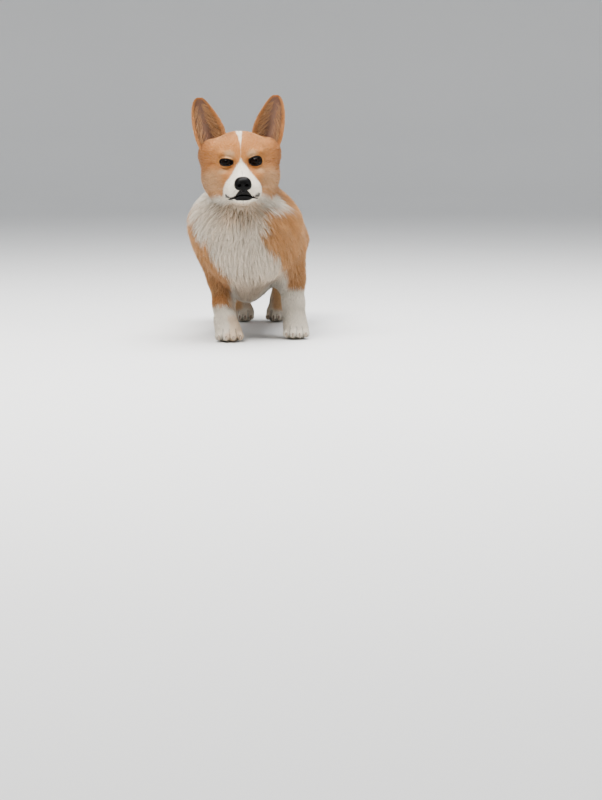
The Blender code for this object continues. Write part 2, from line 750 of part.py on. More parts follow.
def make_foreleg(side):
    """A foreleg from the elbow to the wrist, cut clear of the brisket beside it."""
    seat, front, back = FORELEG_SEATS[side]
    low = (-0.120, -0.215, 0.020) if side == "right" else (0.040, -0.180, 0.020)
    high = (0.015, -0.060, 0.132) if side == "right" else (0.150, -0.050, 0.132)
    inner = seat - 0.045 * SIDES[side]
    bounds = beside(side, inner, front, back, FOREPAW_TOP + GAP, FORELEG_TOP)
    leg = leg_piece(low, high, 0.0024, 620, bounds)
    other = "left" if side == "right" else "right"
    boolean(leg, box_object(*beside(other, seat, -FAR, FAR, BRISKET_LEVEL, FAR)), "DIFFERENCE")
    point, normal = NECK_PLANE
    boolean(leg, half_space(point, [-n for n in normal], GAP), "INTERSECT")
    return finish(leg, "foreleg_" + side, GINGER, 0.9)


def make_forepaw(side):
    x, y, turn = RIGHT_FORE_SOLE if side == "right" else LEFT_FORE_SOLE
    low, high = (x - 0.045, y - 0.050, -0.010), (x + 0.045, y + 0.055, 0.050)
    bounds = (x - 0.042, y - 0.048, 0.0), (x + 0.042, y + 0.052, FOREPAW_TOP)
    paw = leg_piece(low, high, 0.0014, 480, bounds)
    add_claws(paw, (x, y, turn), FORE_PAW_WIDTH * (1.0 if side == "right" else 0.94))
    return finish(paw, "forepaw_" + side, WHITE, 0.9)


def make_thigh(side):
    low = (-0.125, 0.072, 0.070) if side == "right" else (0.010, 0.072, 0.070)
    high = (-0.010, 0.270, 0.204) if side == "right" else (0.125, 0.270, 0.204)
    bounds = beside(side, *THIGH_SEATS[side], HOCK_TOP + GAP, THIGH_TOP)
    thigh = leg_piece(low, high, 0.0030, 460, bounds)
    tidy_solid(thigh)
    add_locks(thigh, core_field, THIGH_LOCKS, 13 if side == "right" else 14, breech_lock_places)
    return finish(thigh, "thigh_" + side, GINGER, 0.9)


def breech_lock_places(p):
    """The back of the thigh, above the hock and clear of the cuts."""
    outside = np.abs(core_field(p)) < 0.0012
    behind = outward(core_field, p)[:, 1] > 0.35
    level = (p[:, 2] > HOCK_TOP + 0.036) & (p[:, 2] < THIGH_TOP - 0.006)
    return outside & behind & level & (np.abs(p[:, 0]) > 0.036)


def make_hock(side):
    low = (-0.100, 0.150, 0.020) if side == "right" else (0.010, 0.150, 0.020)
    high = (-0.005, 0.265, 0.100) if side == "right" else (0.100, 0.265, 0.100)
    bounds = beside(side, *THIGH_SEATS[side], HINDPAW_TOP + GAP, HOCK_TOP)
    hock = leg_piece(low, high, 0.0020, 340, bounds)
    return finish(hock, "hock_" + side, CREAM, 0.9)


def make_hindpaw(side):
    x, y, turn = RIGHT_HIND_SOLE if side == "right" else LEFT_HIND_SOLE
    low, high = (x - 0.033, y - 0.045, -0.010), (x + 0.033, y + 0.055, 0.046)
    bounds = (x - 0.030, y - 0.043, 0.0), (x + 0.030, y + 0.053, HINDPAW_TOP)
    paw = leg_piece(low, high, 0.0013, 400, bounds)
    add_claws(paw, (x, y, turn), HIND_PAW_WIDTH)
    return finish(paw, "hindpaw_" + side, WHITE, 0.9)


# Locks: the least distance between roots, then the range of length, width, thickness and height of the tips
NECK_LOCKS = (0.0225, (0.036, 0.050), (0.013, 0.017), 0.0060, (0.0070, 0.0105))
HEAD_LOCKS = (0.0150, (0.026, 0.034), (0.010, 0.013), 0.0044, (0.0052, 0.0068))
BELLY_LOCKS = (0.0230, (0.026, 0.034), (0.012, 0.016), 0.0055, (0.0060, 0.0090))
THIGH_LOCKS = (0.0200, (0.030, 0.038), (0.012, 0.015), 0.0055, (0.0060, 0.0090))
TAIL_LOCKS = (0.0150, (0.022, 0.028), (0.010, 0.012), 0.0045, (0.0040, 0.0060))
LOCK_ROOT = 0.0045
LOCK_SHAPE = ((0.0, 0.75, 0.85), (0.36, 1.0, 1.0), (0.72, 0.72, 0.75))


def scatter(made, spacing, rng, accept):
    """Points on a mesh, no two nearer than spacing, where accept holds."""
    made.data.calc_loop_triangles()
    corners = np.array([v.co for v in made.data.vertices])
    triangles = corners[np.array([t.vertices for t in made.data.loop_triangles])]
    sides = np.cross(triangles[:, 1] - triangles[:, 0], triangles[:, 2] - triangles[:, 0])
    areas = np.linalg.norm(sides, axis=1)
    chosen = rng.choice(len(areas), 4000, p=areas / areas.sum())
    mix = rng.dirichlet((1.0, 1.0, 1.0), 4000)
    points = (triangles[chosen] * mix[:, :, None]).sum(axis=1)
    points = points[accept(points)]
    kept = []
    for point in points:
        if all(np.linalg.norm(point - other) > spacing for other in kept):
            kept.append(point)
    return np.array(kept)


def lock_object(field, root, run, length, width, thick, rise, curl):
    """One flat tapered lock: its root lies below the surface, and it bends up to its tip along the coat."""
    shares = [share for share, _, _ in LOCK_SHAPE] + [1.0]
    way = run / np.linalg.norm(run)
    normal = outward(field, root[None])[0]
    way = way - normal * (way @ normal)
    way /= np.linalg.norm(way)
    aside = np.cross(way, normal)
    line = np.array([root + way * length * share + aside * curl * share * share for share in shares])
    line = onto(field, line)
    normals = outward(field, line)
    heights = [-LOCK_ROOT + (rise + LOCK_ROOT) * share**0.55 for share in shares]
    line = line + normals * np.array(heights)[:, None]
    rings = []
    for i, (_, wide, deep) in enumerate(LOCK_SHAPE):
        ahead = line[i + 1] - line[i]
        ahead /= np.linalg.norm(ahead)
        across = np.cross(ahead, normals[i])
        across /= np.linalg.norm(across)
        up = np.cross(across, ahead)
        half, deep = 0.5 * width * wide, 0.5 * thick * deep
        rings.append([line[i] + across * half, line[i] + up * deep, line[i] - across * half, line[i] - up * deep])
    form = bmesh.new()
    loops = [[form.verts.new(tuple(point)) for point in ring] for ring in rings]
    for low, high in zip(loops, loops[1:]):
        for j in range(4):
            k = (j + 1) % 4
            form.faces.new((low[j], low[k], high[k]))
            form.faces.new((low[j], high[k], high[j]))
    tip = form.verts.new(tuple(line[-1]))
    for j in range(4):
        form.faces.new((loops[-1][j], loops[-1][(j + 1) % 4], tip))
    form.faces.new((loops[0][0], loops[0][1], loops[0][2]))
    form.faces.new((loops[0][0], loops[0][2], loops[0][3]))
    bmesh.ops.recalc_face_normals(form, faces=form.faces)
    mesh = bpy.data.meshes.new("lock")
    form.to_mesh(mesh)
    form.free()
    return object_from_mesh(mesh)


def add_locks(made, field, locks, seed, accept, run=coat_run):
    """A node with its locks fused on, laid along the coat, each a little different."""
    rng = np.random.default_rng(seed)
    spacing, lengths, widths, thick, rises = locks
    roots = scatter(made, spacing, rng, accept)
    group = bpy.data.collections.new("locks")
    for root, way in zip(roots, run(roots)):
        size = rng.uniform(0.0, 1.0, 4)
        length = lengths[0] + (lengths[1] - lengths[0]) * size[0]
        width = widths[0] + (widths[1] - widths[0]) * size[1]
        rise = rises[0] + (rises[1] - rises[0]) * size[2]
        lock = lock_object(field, root, way, length, width, thick, rise, 0.25 * length * (size[3] - 0.5))
        group.objects.link(lock)
    modifier = made.modifiers.new("locks", "BOOLEAN")
    modifier.operation = "UNION"
    modifier.solver = "EXACT"
    modifier.operand_type = "COLLECTION"
    modifier.collection = group
    apply_modifiers(made)
    for lock in list(group.objects):
        remove_object(lock)
    bpy.data.collections.remove(group)
    return len(roots)


def ahead_of(plane, p):
    """How far each point lies on the head's side of a plane."""
    point, normal = plane
    normal = np.asarray(normal) / np.linalg.norm(normal)
    return (p - np.asarray(point)) @ normal


TOES = ((-0.37, -0.10, 0.0), (-0.125, -0.30, 0.001), (0.125, -0.30, 0.001), (0.37, -0.10, 0.0))
CLAW_SIDES = 6


def claw_object(sole, width, toe):
    """One curved claw, its root sunk in the toe and its point just above the floor."""
    x, y, turn = sole
    across, ahead, lift = toe
    axes = turn_about("Z", turn)
    root = np.array([across * width, (ahead - 0.16) * width, 0.0125])
    rings = []
    for share, radius in ((0.0, 0.0026), (0.35, 0.0024), (0.7, 0.0017), (1.0, 0.0007)):
        fall = 0.0074 * share**1.6
        centre = root + np.array([0.0, -(0.004 + CLAW_LENGTH) * share, -fall])
        lean = 0.9 * share
        ring = []
        for i in range(CLAW_SIDES):
            angle = 2.0 * math.pi * i / CLAW_SIDES
            rise = radius * math.sin(angle)
            offset = (radius * 0.8 * math.cos(angle), -rise * math.sin(lean) * 0.7, rise * math.cos(lean))
            ring.append(axes @ (centre + np.array(offset)) + np.array([x, y, 0.0]))
        rings.append(ring)
    return object_from_mesh(rings_mesh("claw", rings))


def add_claws(paw, sole, width):
    for toe in TOES:
        boolean(paw, claw_object(sole, width, toe), "UNION")


def centre_on_floor(nodes):
    """Every node moved together so that the middle of the whole box stands over the origin."""
    points = np.array([tuple(v.co) for node in nodes for v in node.data.vertices])
    middle = (points.min(axis=0) + points.max(axis=0)) / 2.0
    for node in nodes:
        node.data.transform(Matrix.Translation((-middle[0], -middle[1], 0.0)))


def main():
    for old in list(bpy.data.objects):
        bpy.data.objects.remove(old)
    nodes = [make_head(), make_nose(), make_neck(), make_torso(), make_tail()]
    for side in SIDES:
        nodes += [make_eye(side), make_ear(side), make_foreleg(side), make_forepaw(side)]
        nodes += [make_thigh(side), make_hock(side), make_hindpaw(side)]
    centre_on_floor(nodes)


main()
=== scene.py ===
"""Dresses the frame of a standing Pembroke Welsh Corgi with skin, coat, ears, eyes, nose and claws.

The skin is meshed from the same forms as the solids, drawn in by the depth of the coat. Tufts grow from it along
the lie of the coat and reach the outline of the solids. Sizes are metres, and the dog faces -Y.
"""

import math

import bmesh
import bpy
import numpy as np
import openvdb
from bpy.props import FloatProperty, FloatVectorProperty, IntProperty, PointerProperty
from mathutils import Matrix, Vector, kdtree


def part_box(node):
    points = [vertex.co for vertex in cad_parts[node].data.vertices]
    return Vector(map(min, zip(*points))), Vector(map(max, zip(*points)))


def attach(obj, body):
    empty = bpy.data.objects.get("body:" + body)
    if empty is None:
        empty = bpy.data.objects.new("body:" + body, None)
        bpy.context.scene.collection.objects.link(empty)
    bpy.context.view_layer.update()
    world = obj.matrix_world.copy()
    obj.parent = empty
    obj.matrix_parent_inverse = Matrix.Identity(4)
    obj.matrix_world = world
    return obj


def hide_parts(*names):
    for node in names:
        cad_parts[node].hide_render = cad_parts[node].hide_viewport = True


bl_info = {
    "name": "Standing Corgi",
    "version": (1, 0, 0),
    "blender": (4, 5, 0),
    "location": "View3D > Sidebar > Corgi",
    "description": "Dresses the corgi's frame with its skin, coat, eyes, nose, ears and claws",
    "category": "Add Mesh",
}

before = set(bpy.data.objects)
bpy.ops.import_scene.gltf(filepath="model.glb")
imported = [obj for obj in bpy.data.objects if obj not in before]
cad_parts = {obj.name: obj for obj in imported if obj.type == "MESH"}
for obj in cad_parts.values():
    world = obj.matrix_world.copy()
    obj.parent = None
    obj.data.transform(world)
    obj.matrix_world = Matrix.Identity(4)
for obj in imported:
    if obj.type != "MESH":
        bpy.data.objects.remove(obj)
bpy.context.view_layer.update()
LINEAR = {"subtype": "COLOR", "size": 3, "min": 0.0, "max": 1.0}

# Sizes that the solids share
EYE_RADIUS = 0.0102
EYE_SIDE = 0.0258
FORE_PAW_WIDTH = 0.053
HIND_PAW_WIDTH = 0.044
CLAW_LENGTH = 0.0068

# Where the head is and how it is turned: the point between the eyes, then degrees
HEAD_AT = np.array([0.0046, -0.235, 0.329])
HEAD_TURN = 7.0
HEAD_TILT = -2.0

# The four soles: the middle of each paw on the floor, and the degrees it turns towards +X
RIGHT_FORE_SOLE = (-0.023, -0.182, 8.0)
LEFT_FORE_SOLE = (0.097, -0.127, 4.0)
RIGHT_HIND_SOLE = (-0.028, 0.203, -3.0)
LEFT_HIND_SOLE = (0.038, 0.203, 3.0)
PAWS = {
    "forepaw_right": (RIGHT_FORE_SOLE, FORE_PAW_WIDTH), "forepaw_left": (LEFT_FORE_SOLE, 0.94 * FORE_PAW_WIDTH),
    "hindpaw_right": (RIGHT_HIND_SOLE, HIND_PAW_WIDTH), "hindpaw_left": (LEFT_HIND_SOLE, HIND_PAW_WIDTH),
}

SIDES = {"right": -1.0, "left": 1.0}


# Field tools: each takes points as an (n, 3) array and gives the distance to a form, negative inside


def ellipsoid(p, centre, radii, power=2.0):
    """Distance to an ellipsoid, or to a boxier one where power is over 2."""
    q = np.abs(p - np.asarray(centre)) / np.asarray(radii)
    size = (q**power).sum(axis=1) ** (1.0 / power)
    slope = np.linalg.norm(q ** (power - 1.0) / np.asarray(radii), axis=1)
    slope *= np.maximum(size, 1e-6) ** (1.0 - power)
    return (size - 1.0) / np.maximum(slope, 1e-6)


def limb(p, start, end, start_radius, end_radius, width=1.0):
    """Distance to a tapered limb with round ends, width times as wide along X as it is deep."""
    start, end = np.asarray(start), np.asarray(end)
    along = end - start
    share = np.clip(((p - start) @ along) / (along @ along), 0.0, 1.0)
    off = p - start - share[:, None] * along
    off[:, 0] /= width
    return np.linalg.norm(off, axis=1) - (start_radius + (end_radius - start_radius) * share)


def melt(a, b, soft):
    """The union of two fields, with a fillet about soft wide."""
    near = np.maximum(soft - np.abs(a - b), 0.0)
    return np.minimum(a, b) - near * near / (4.0 * soft)


def carve(a, b, soft):
    """Field a with field b cut out of it, with an edge about soft wide."""
    return -melt(-a, b, soft)


def melt_ellipsoids(field, p, rows):
    """A field with ellipsoids melted on in turn. Each row is a centre, radii, a power and a fillet."""
    for centre, radii, power, soft in rows:
        field = melt(field, ellipsoid(p, centre, radii, power), soft)
    return field


def mirrored(p):
    """The same points with both sides folded onto the left one."""
    q = p.copy()
    q[:, 0] = np.abs(q[:, 0])
    return q


def turn_about(axis, degrees):
    return np.array(Matrix.Rotation(math.radians(degrees), 3, axis))


HEAD_AXES = turn_about("Z", HEAD_TURN) @ turn_about("Y", HEAD_TILT)


def to_head(p):
    return (p - HEAD_AT) @ HEAD_AXES


def from_head(p):
    return np.asarray(p) @ HEAD_AXES.T + HEAD_AT


# The head, in its own axes: the origin between the eyes, -Y out along the muzzle

# Rows of melt_ellipsoids for one side: the temple, the forehead, the cheek, the jaw and below the eye
SKULL_ROWS = (
    ((0.052, 0.046, 0.012), (0.025, 0.026, 0.030), 2.0, 0.016),
    ((0.020, 0.017, 0.022), (0.026, 0.024, 0.023), 2.0, 0.012),
    ((0.038, 0.042, -0.028), (0.035, 0.040, 0.036), 2.0, 0.020),
    ((0.028, 0.034, -0.050), (0.030, 0.034, 0.024), 2.0, 0.020),
    ((0.025, 0.008, -0.024), (0.019, 0.022, 0.015), 2.0, 0.012),
)
# The pad of the upper lip, and the front of the muzzle between the pads
LIP_ROWS = (
    ((0.0175, -0.0300, -0.0505), (0.0168, 0.028, 0.0185), 2.3, 0.005),
    ((0.0, -0.0455, -0.0480), (0.0180, 0.0175, 0.0125), 2.0, 0.006),
)


def skull_field(p):
    """The head without its nose leather, eyes or ears. p is in the head's own axes, and the head is symmetric."""
    q = mirrored(p)
    field = melt_ellipsoids(ellipsoid(q, (0.0, 0.047, 0.004), (0.054, 0.056, 0.051), 2.3), q, SKULL_ROWS)
    muzzle = limb(q, (0.0, 0.006, -0.035), (0.0, -0.042, -0.0425), 0.028, 0.0195, 1.30)
    bridge = limb(q, (0.0, 0.004, -0.0145), (0.0, -0.050, -0.0315), 0.011, 0.0090)
    jaw = limb(q, (0.0, 0.024, -0.060), (0.0, -0.0395, -0.0635), 0.0240, 0.0120, 1.35)
    field = melt(melt(melt(field, muzzle, 0.012), bridge, 0.010), jaw, 0.005)
    field = melt_ellipsoids(field, q, LIP_ROWS)
    eye_hollow = ellipsoid(q, (0.0270, -0.0150, -0.001), (0.0170, 0.0100, 0.0115))
    brow = ellipsoid(q, (0.0255, -0.0010, 0.0175), (0.0150, 0.0090, 0.0060))
    return melt(carve(field, eye_hollow, 0.008), brow, 0.007)


# Half the opening of each eye, in degrees above and below its middle: the right one is half shut
LID_OPENING = {"right": (24.0, 24.0), "left": (38.0, 32.0)}
LID_DEPTH = 0.0021
LID_SLANT = 0.10
LID_CORNER = 0.0112
EYE_OUTWARD = 12.0


def eye_centre(side):
    return np.array([EYE_SIDE * SIDES[side], -0.0010, 0.0])


def eye_axes(side):
    return turn_about("Z", EYE_OUTWARD * SIDES[side])


def lid_opening_field(q, side):
    """The opening between the lids, in the eye's own axes. The lids meet at the two corners."""
    above, below = (math.radians(a) for a in LID_OPENING[side])
    ahead = 0.0020 - q[:, 1]
    height = q[:, 2] - LID_SLANT * q[:, 0] * SIDES[side]
    upper = height * math.cos(above) - ahead * math.sin(above)
    lower = -height * math.cos(below) - ahead * math.sin(below)
    return np.maximum(upper, lower)


def add_lids(field, p, side):
    """The head with a shell of lids laid over the eyeball, and the opening cut through them."""
    q = (p - eye_centre(side)) @ eye_axes(side)
    reach = np.linalg.norm(q, axis=1)
    field = melt(field, reach - (EYE_RADIUS + LID_DEPTH), 0.0022)
    opening = np.maximum(lid_opening_field(q, side), np.abs(q[:, 0]) - LID_CORNER)
    opening = np.maximum(opening, reach - 0.0180)
    return carve(field, opening, 0.0010)


# The mouth's height, half its width, and how deep its slit is cut
MOUTH_LEVEL, MOUTH_CORNER, MOUTH_CUT = -0.0605, 0.0290, 0.0050


def mouth_level(p):
    """The height of the lips' line: highest below the nose, lower at the sides."""
    wave = 0.0026 * np.cos(np.minimum(np.abs(p[:, 0]) / MOUTH_CORNER, 1.0) * math.pi)
    return MOUTH_LEVEL + wave - 0.10 * np.maximum(p[:, 1] + 0.030, 0.0)


def head_field(p, depth):
    """The head drawn in by the coat's depth, with its lids, the slit of the lips and the upper lip's groove."""
    plain = skull_field(p) + depth
    field = plain
    for side in SIDES:
        field = add_lids(field, p, side)
    slit = np.maximum(np.abs(p[:, 2] - mouth_level(p)) - 0.0010, p[:, 1] + 0.0060)
    field = carve(field, np.maximum(slit, -(plain + MOUTH_CUT)), 0.0010)
    groove = limb(p, (0.0, -0.070, -0.048), (0.0, -0.065, -0.058), 0.0016, 0.0016)
    return carve(field, groove, 0.0015)


def nose_leather_field(p):
    """The outer form of the nose leather: broad above, with a wing on each side and a short foot."""
    q = mirrored(p)
    field = ellipsoid(q, (0.0, -0.0570, -0.0372), (0.0145, 0.0120, 0.0114), 2.4)
    field = melt(field, ellipsoid(q, (0.0080, -0.0595, -0.0410), (0.0062, 0.0095, 0.0070)), 0.004)
    return melt(field, limb(q, (0.0, -0.0605, -0.0450), (0.0, -0.0605, -0.0500), 0.0055, 0.0035), 0.004)


def nose_field(p):
    """The nose leather with its two comma nostrils and the groove down its middle."""
    q = mirrored(p)
    nostril = ellipsoid(q, (0.0062, -0.0700, -0.0405), (0.0031, 0.0060, 0.0028))
    slot = limb(q, (0.0080, -0.0685, -0.0415), (0.0140, -0.0640, -0.0435), 0.0013, 0.0009)
    field = carve(nose_leather_field(p), melt(nostril, slot, 0.001), 0.0012)
    groove = limb(q, (0.0, -0.0715, -0.0410), (0.0, -0.0685, -0.0520), 0.0009, 0.0009)
    return carve(field, groove, 0.0010)


# Each ear as a cupped blade: points along its middle line in the head's axes (x outward), then half its
# width, how far the cup is rolled in degrees, its thickness, and the drop of its outer side, root to tip
EAR_RIBS = (
    ((0.0430, 0.0440, 0.0160), 0.0195, 80.0, 0.0080, 0.60),
    ((0.0480, 0.0440, 0.0340), 0.0240, 76.0, 0.0064, 0.52),
    ((0.0530, 0.0440, 0.0520), 0.0262, 68.0, 0.0050, 0.42),
    ((0.0580, 0.0435, 0.0700), 0.0250, 58.0, 0.0041, 0.32),
    ((0.0620, 0.0425, 0.0860), 0.0218, 48.0, 0.0036, 0.22),
    ((0.0648, 0.0410, 0.0990), 0.0176, 38.0, 0.0032, 0.12),
    ((0.0662, 0.0398, 0.1080), 0.0131, 29.0, 0.0029, 0.06),
    ((0.0668, 0.0390, 0.1135), 0.0088, 21.0, 0.0026, 0.02),
    ((0.0670, 0.0385, 0.1162), 0.0046, 14.0, 0.0022, 0.00),
)
EAR_TWIST = 10.0  # degrees that the cup is turned about the upright


# The body

# Each toe across the paw, ahead of its middle and above its level, the first two as shares of the paw's width
TOES = ((-0.37, -0.10, 0.0), (-0.125, -0.30, 0.001), (0.125, -0.30, 0.001), (0.37, -0.10, 0.0))


def to_paw(p, sole):
    """Points in a paw's own axes. sole is its place on the floor and its turn."""
    x, y, turn = sole
    return (p - np.array([x, y, 0.0])) @ turn_about("Z", turn)


def paw_field(p, sole, width):
    """A paw with four toes."""
    q = to_paw(p, sole)
    field = ellipsoid(q, (0.0, 0.008, 0.017), (0.43 * width, 0.44 * width, 0.020))
    for across, ahead, lift in TOES:
        knuckle = (across * 0.72 * width, (ahead + 0.28) * width, 0.0185 + lift)
        tip = (across * width, (ahead - 0.12) * width, 0.0105)
        toe = limb(q, knuckle, tip, 0.158 * width, 0.142 * width)
        field = melt(field, toe, 0.0020)
    return field


# Each foreleg from the shoulder down: points on its middle line, then the radius there
RIGHT_FORELEG = (
    ((-0.050, -0.112, 0.160), 0.034),
    ((-0.042, -0.116, 0.112), 0.0262),
    ((-0.036, -0.148, 0.066), 0.0195),
    ((-0.031, -0.166, 0.036), 0.0195),
    ((-0.025, -0.176, 0.020), 0.0195),
)
LEFT_FORELEG = (
    ((0.074, -0.100, 0.160), 0.038),
    ((0.086, -0.099, 0.112), 0.0270),
    ((0.091, -0.110, 0.066), 0.0200),
    ((0.094, -0.117, 0.036), 0.0192),
    ((0.096, -0.122, 0.020), 0.0190),
)
# Each hind leg from the thigh to the foot
HINDLEG = (
    ((0.060, 0.195, 0.165), 0.046),
    ((0.057, 0.205, 0.122), 0.032),
    ((0.048, 0.228, 0.088), 0.0190),
    ((0.041, 0.224, 0.044), 0.0155),
    ((0.036, 0.214, 0.020), 0.0168),
)
RIGHT_HIND_SHIFT = 0.008


def leg_field(p, points):
    """A leg as a chain of tapered limbs."""
    lengths = [limb(p, start, end, start_radius, end_radius)
               for (start, start_radius), (end, end_radius) in zip(points, points[1:])]
    field = lengths[0]
    for length in lengths[1:]:
        field = melt(field, length, 0.012)
    return field


def hindleg_points(side):
    """The hind leg on one side. The right foot stands a little nearer the middle."""
    points = []
    for (x, y, z), radius in HINDLEG:
        inward = RIGHT_HIND_SHIFT * (1.0 - z / 0.165) if side == "right" else 0.0
        points.append(((SIDES[side] * (x - inward), y, z), radius))
    return tuple(points)


def legs_field(p, right, left, paw, soft):
    """A pair of legs with their paws, from the points of both legs and the paws' first name."""
    right = melt(leg_field(p, right), paw_field(p, *PAWS[paw + "_right"]), soft)
    left = melt(leg_field(p, left), paw_field(p, *PAWS[paw + "_left"]), soft)
    return np.minimum(right, left)


# Rows of melt_ellipsoids, front to back along the trunk, then the shoulders, the withers and the thighs
TORSO_ROWS = (
    ((0.005, -0.102, 0.118), (0.042, 0.082, 0.054), 2.0, 0.030),
    ((0.002, 0.000, 0.176), (0.092, 0.160, 0.092), 2.5, 0.030),
    ((0.000, 0.110, 0.181), (0.084, 0.125, 0.083), 2.5, 0.030),
    ((0.000, 0.172, 0.184), (0.083, 0.078, 0.080), 2.5, 0.030),
    ((-0.056, -0.108, 0.202), (0.041, 0.060, 0.056), 2.0, 0.025),
    ((0.070, -0.104, 0.176), (0.038, 0.060, 0.070), 2.0, 0.025),
    ((0.0, -0.085, 0.236), (0.046, 0.060, 0.036), 2.0, 0.030),
    ((-0.058, 0.146, 0.158), (0.038, 0.066, 0.070), 2.0, 0.025),
    ((0.058, 0.146, 0.158), (0.038, 0.066, 0.070), 2.0, 0.025),
)


def torso_field(p):
    """Chest, ribs, loin and hips, with the shoulders and thighs."""
    chest = ellipsoid(p, (0.008, -0.105, 0.186), (0.084, 0.110, 0.078), 2.4)
    return melt_ellipsoids(chest, p, TORSO_ROWS)


def neck_field(p):
    """The neck with the outline of its ruff, and the forechest with its bib."""
    field = limb(p, (0.003, -0.125, 0.225), (0.0046, -0.172, 0.306), 0.076, 0.056)
    field = melt(field, ellipsoid(p, (0.002, -0.132, 0.216), (0.098, 0.080, 0.058), 2.3), 0.030)
    return melt(field, ellipsoid(p, (0.008, -0.168, 0.182), (0.072, 0.064, 0.078), 2.2), 0.030)


# The coat: part, place on the outward side, the way it runs (x outward), then length, depth and width of its
# tufts in millimetres. Head rows are in the head's axes and in millimetres too
HEAD_COAT = (
    ("nose top", (0, -52, -22), (0.0, 1.0, 0.3), 3.2, 0.8, 0.36),
    ("muzzle top", (0, -32, -20), (0.0, 1.0, 0.35), 4.0, 0.9, 0.36),
    ("muzzle side", (29, -34, -42), (0.3, 1.0, -0.05), 4.8, 1.1, 0.38),
    ("lip", (27, -40, -56), (0.2, 0.9, -0.4), 4.4, 1.1, 0.38),
    ("lip back", (30, -16, -58), (0.3, 0.9, -0.35), 5.5, 1.4, 0.40),
    ("chin", (0, -42, -73), (0.0, 0.8, -0.6), 5.5, 1.4, 0.40),
    ("jaw", (26, -10, -76), (0.25, 0.8, -0.55), 8.0, 2.0, 0.45),
    ("stop", (0, -6, -6), (0.0, 0.45, 0.9), 4.4, 0.9, 0.36),
    ("inner corner", (13, -9, -6), (0.25, 0.3, 0.9), 3.6, 0.8, 0.34),
    ("under eye", (25, -6, -15), (0.6, 0.75, -0.2), 4.6, 1.0, 0.36),
    ("brow", (26, -6, 17), (0.4, 0.4, 0.8), 5.5, 1.2, 0.38),
    ("outer corner", (42, 6, 2), (0.6, 0.75, 0.15), 5.8, 1.3, 0.38),
    ("forehead", (0, 8, 36), (0.0, 0.7, 0.7), 7.0, 1.4, 0.42),
    ("forehead side", (28, 14, 38), (0.4, 0.65, 0.6), 7.5, 1.6, 0.42),
    ("crown", (0, 45, 55), (0.0, 1.0, 0.05), 9.5, 2.4, 0.50),
    ("occiput", (0, 95, 30), (0.0, 0.8, -0.6), 18.0, 5.0, 0.65),
    ("temple", (60, 28, 8), (0.5, 0.85, 0.0), 10.0, 2.3, 0.48),
    ("ear front", (42, 28, 44), (0.3, 0.45, 0.85), 9.0, 2.0, 0.46),
    ("ear side", (74, 46, 14), (0.2, 0.9, -0.35), 14.0, 3.4, 0.55),
    ("behind ear", (46, 78, 30), (0.2, 0.85, -0.5), 18.0, 4.6, 0.65),
    ("cheek front", (42, 10, -28), (0.55, 0.75, -0.3), 8.5, 1.9, 0.44),
    ("cheek", (62, 32, -30), (0.4, 0.8, -0.45), 15.0, 3.6, 0.55),
    ("cheek back", (70, 62, -12), (0.4, 0.75, -0.5), 24.0, 7.0, 0.65),
    ("cheek low", (50, 30, -58), (0.35, 0.6, -0.75), 18.0, 5.0, 0.62),
    ("throat", (0, 22, -84), (0.0, 0.5, -0.85), 22.0, 6.0, 0.68),
)
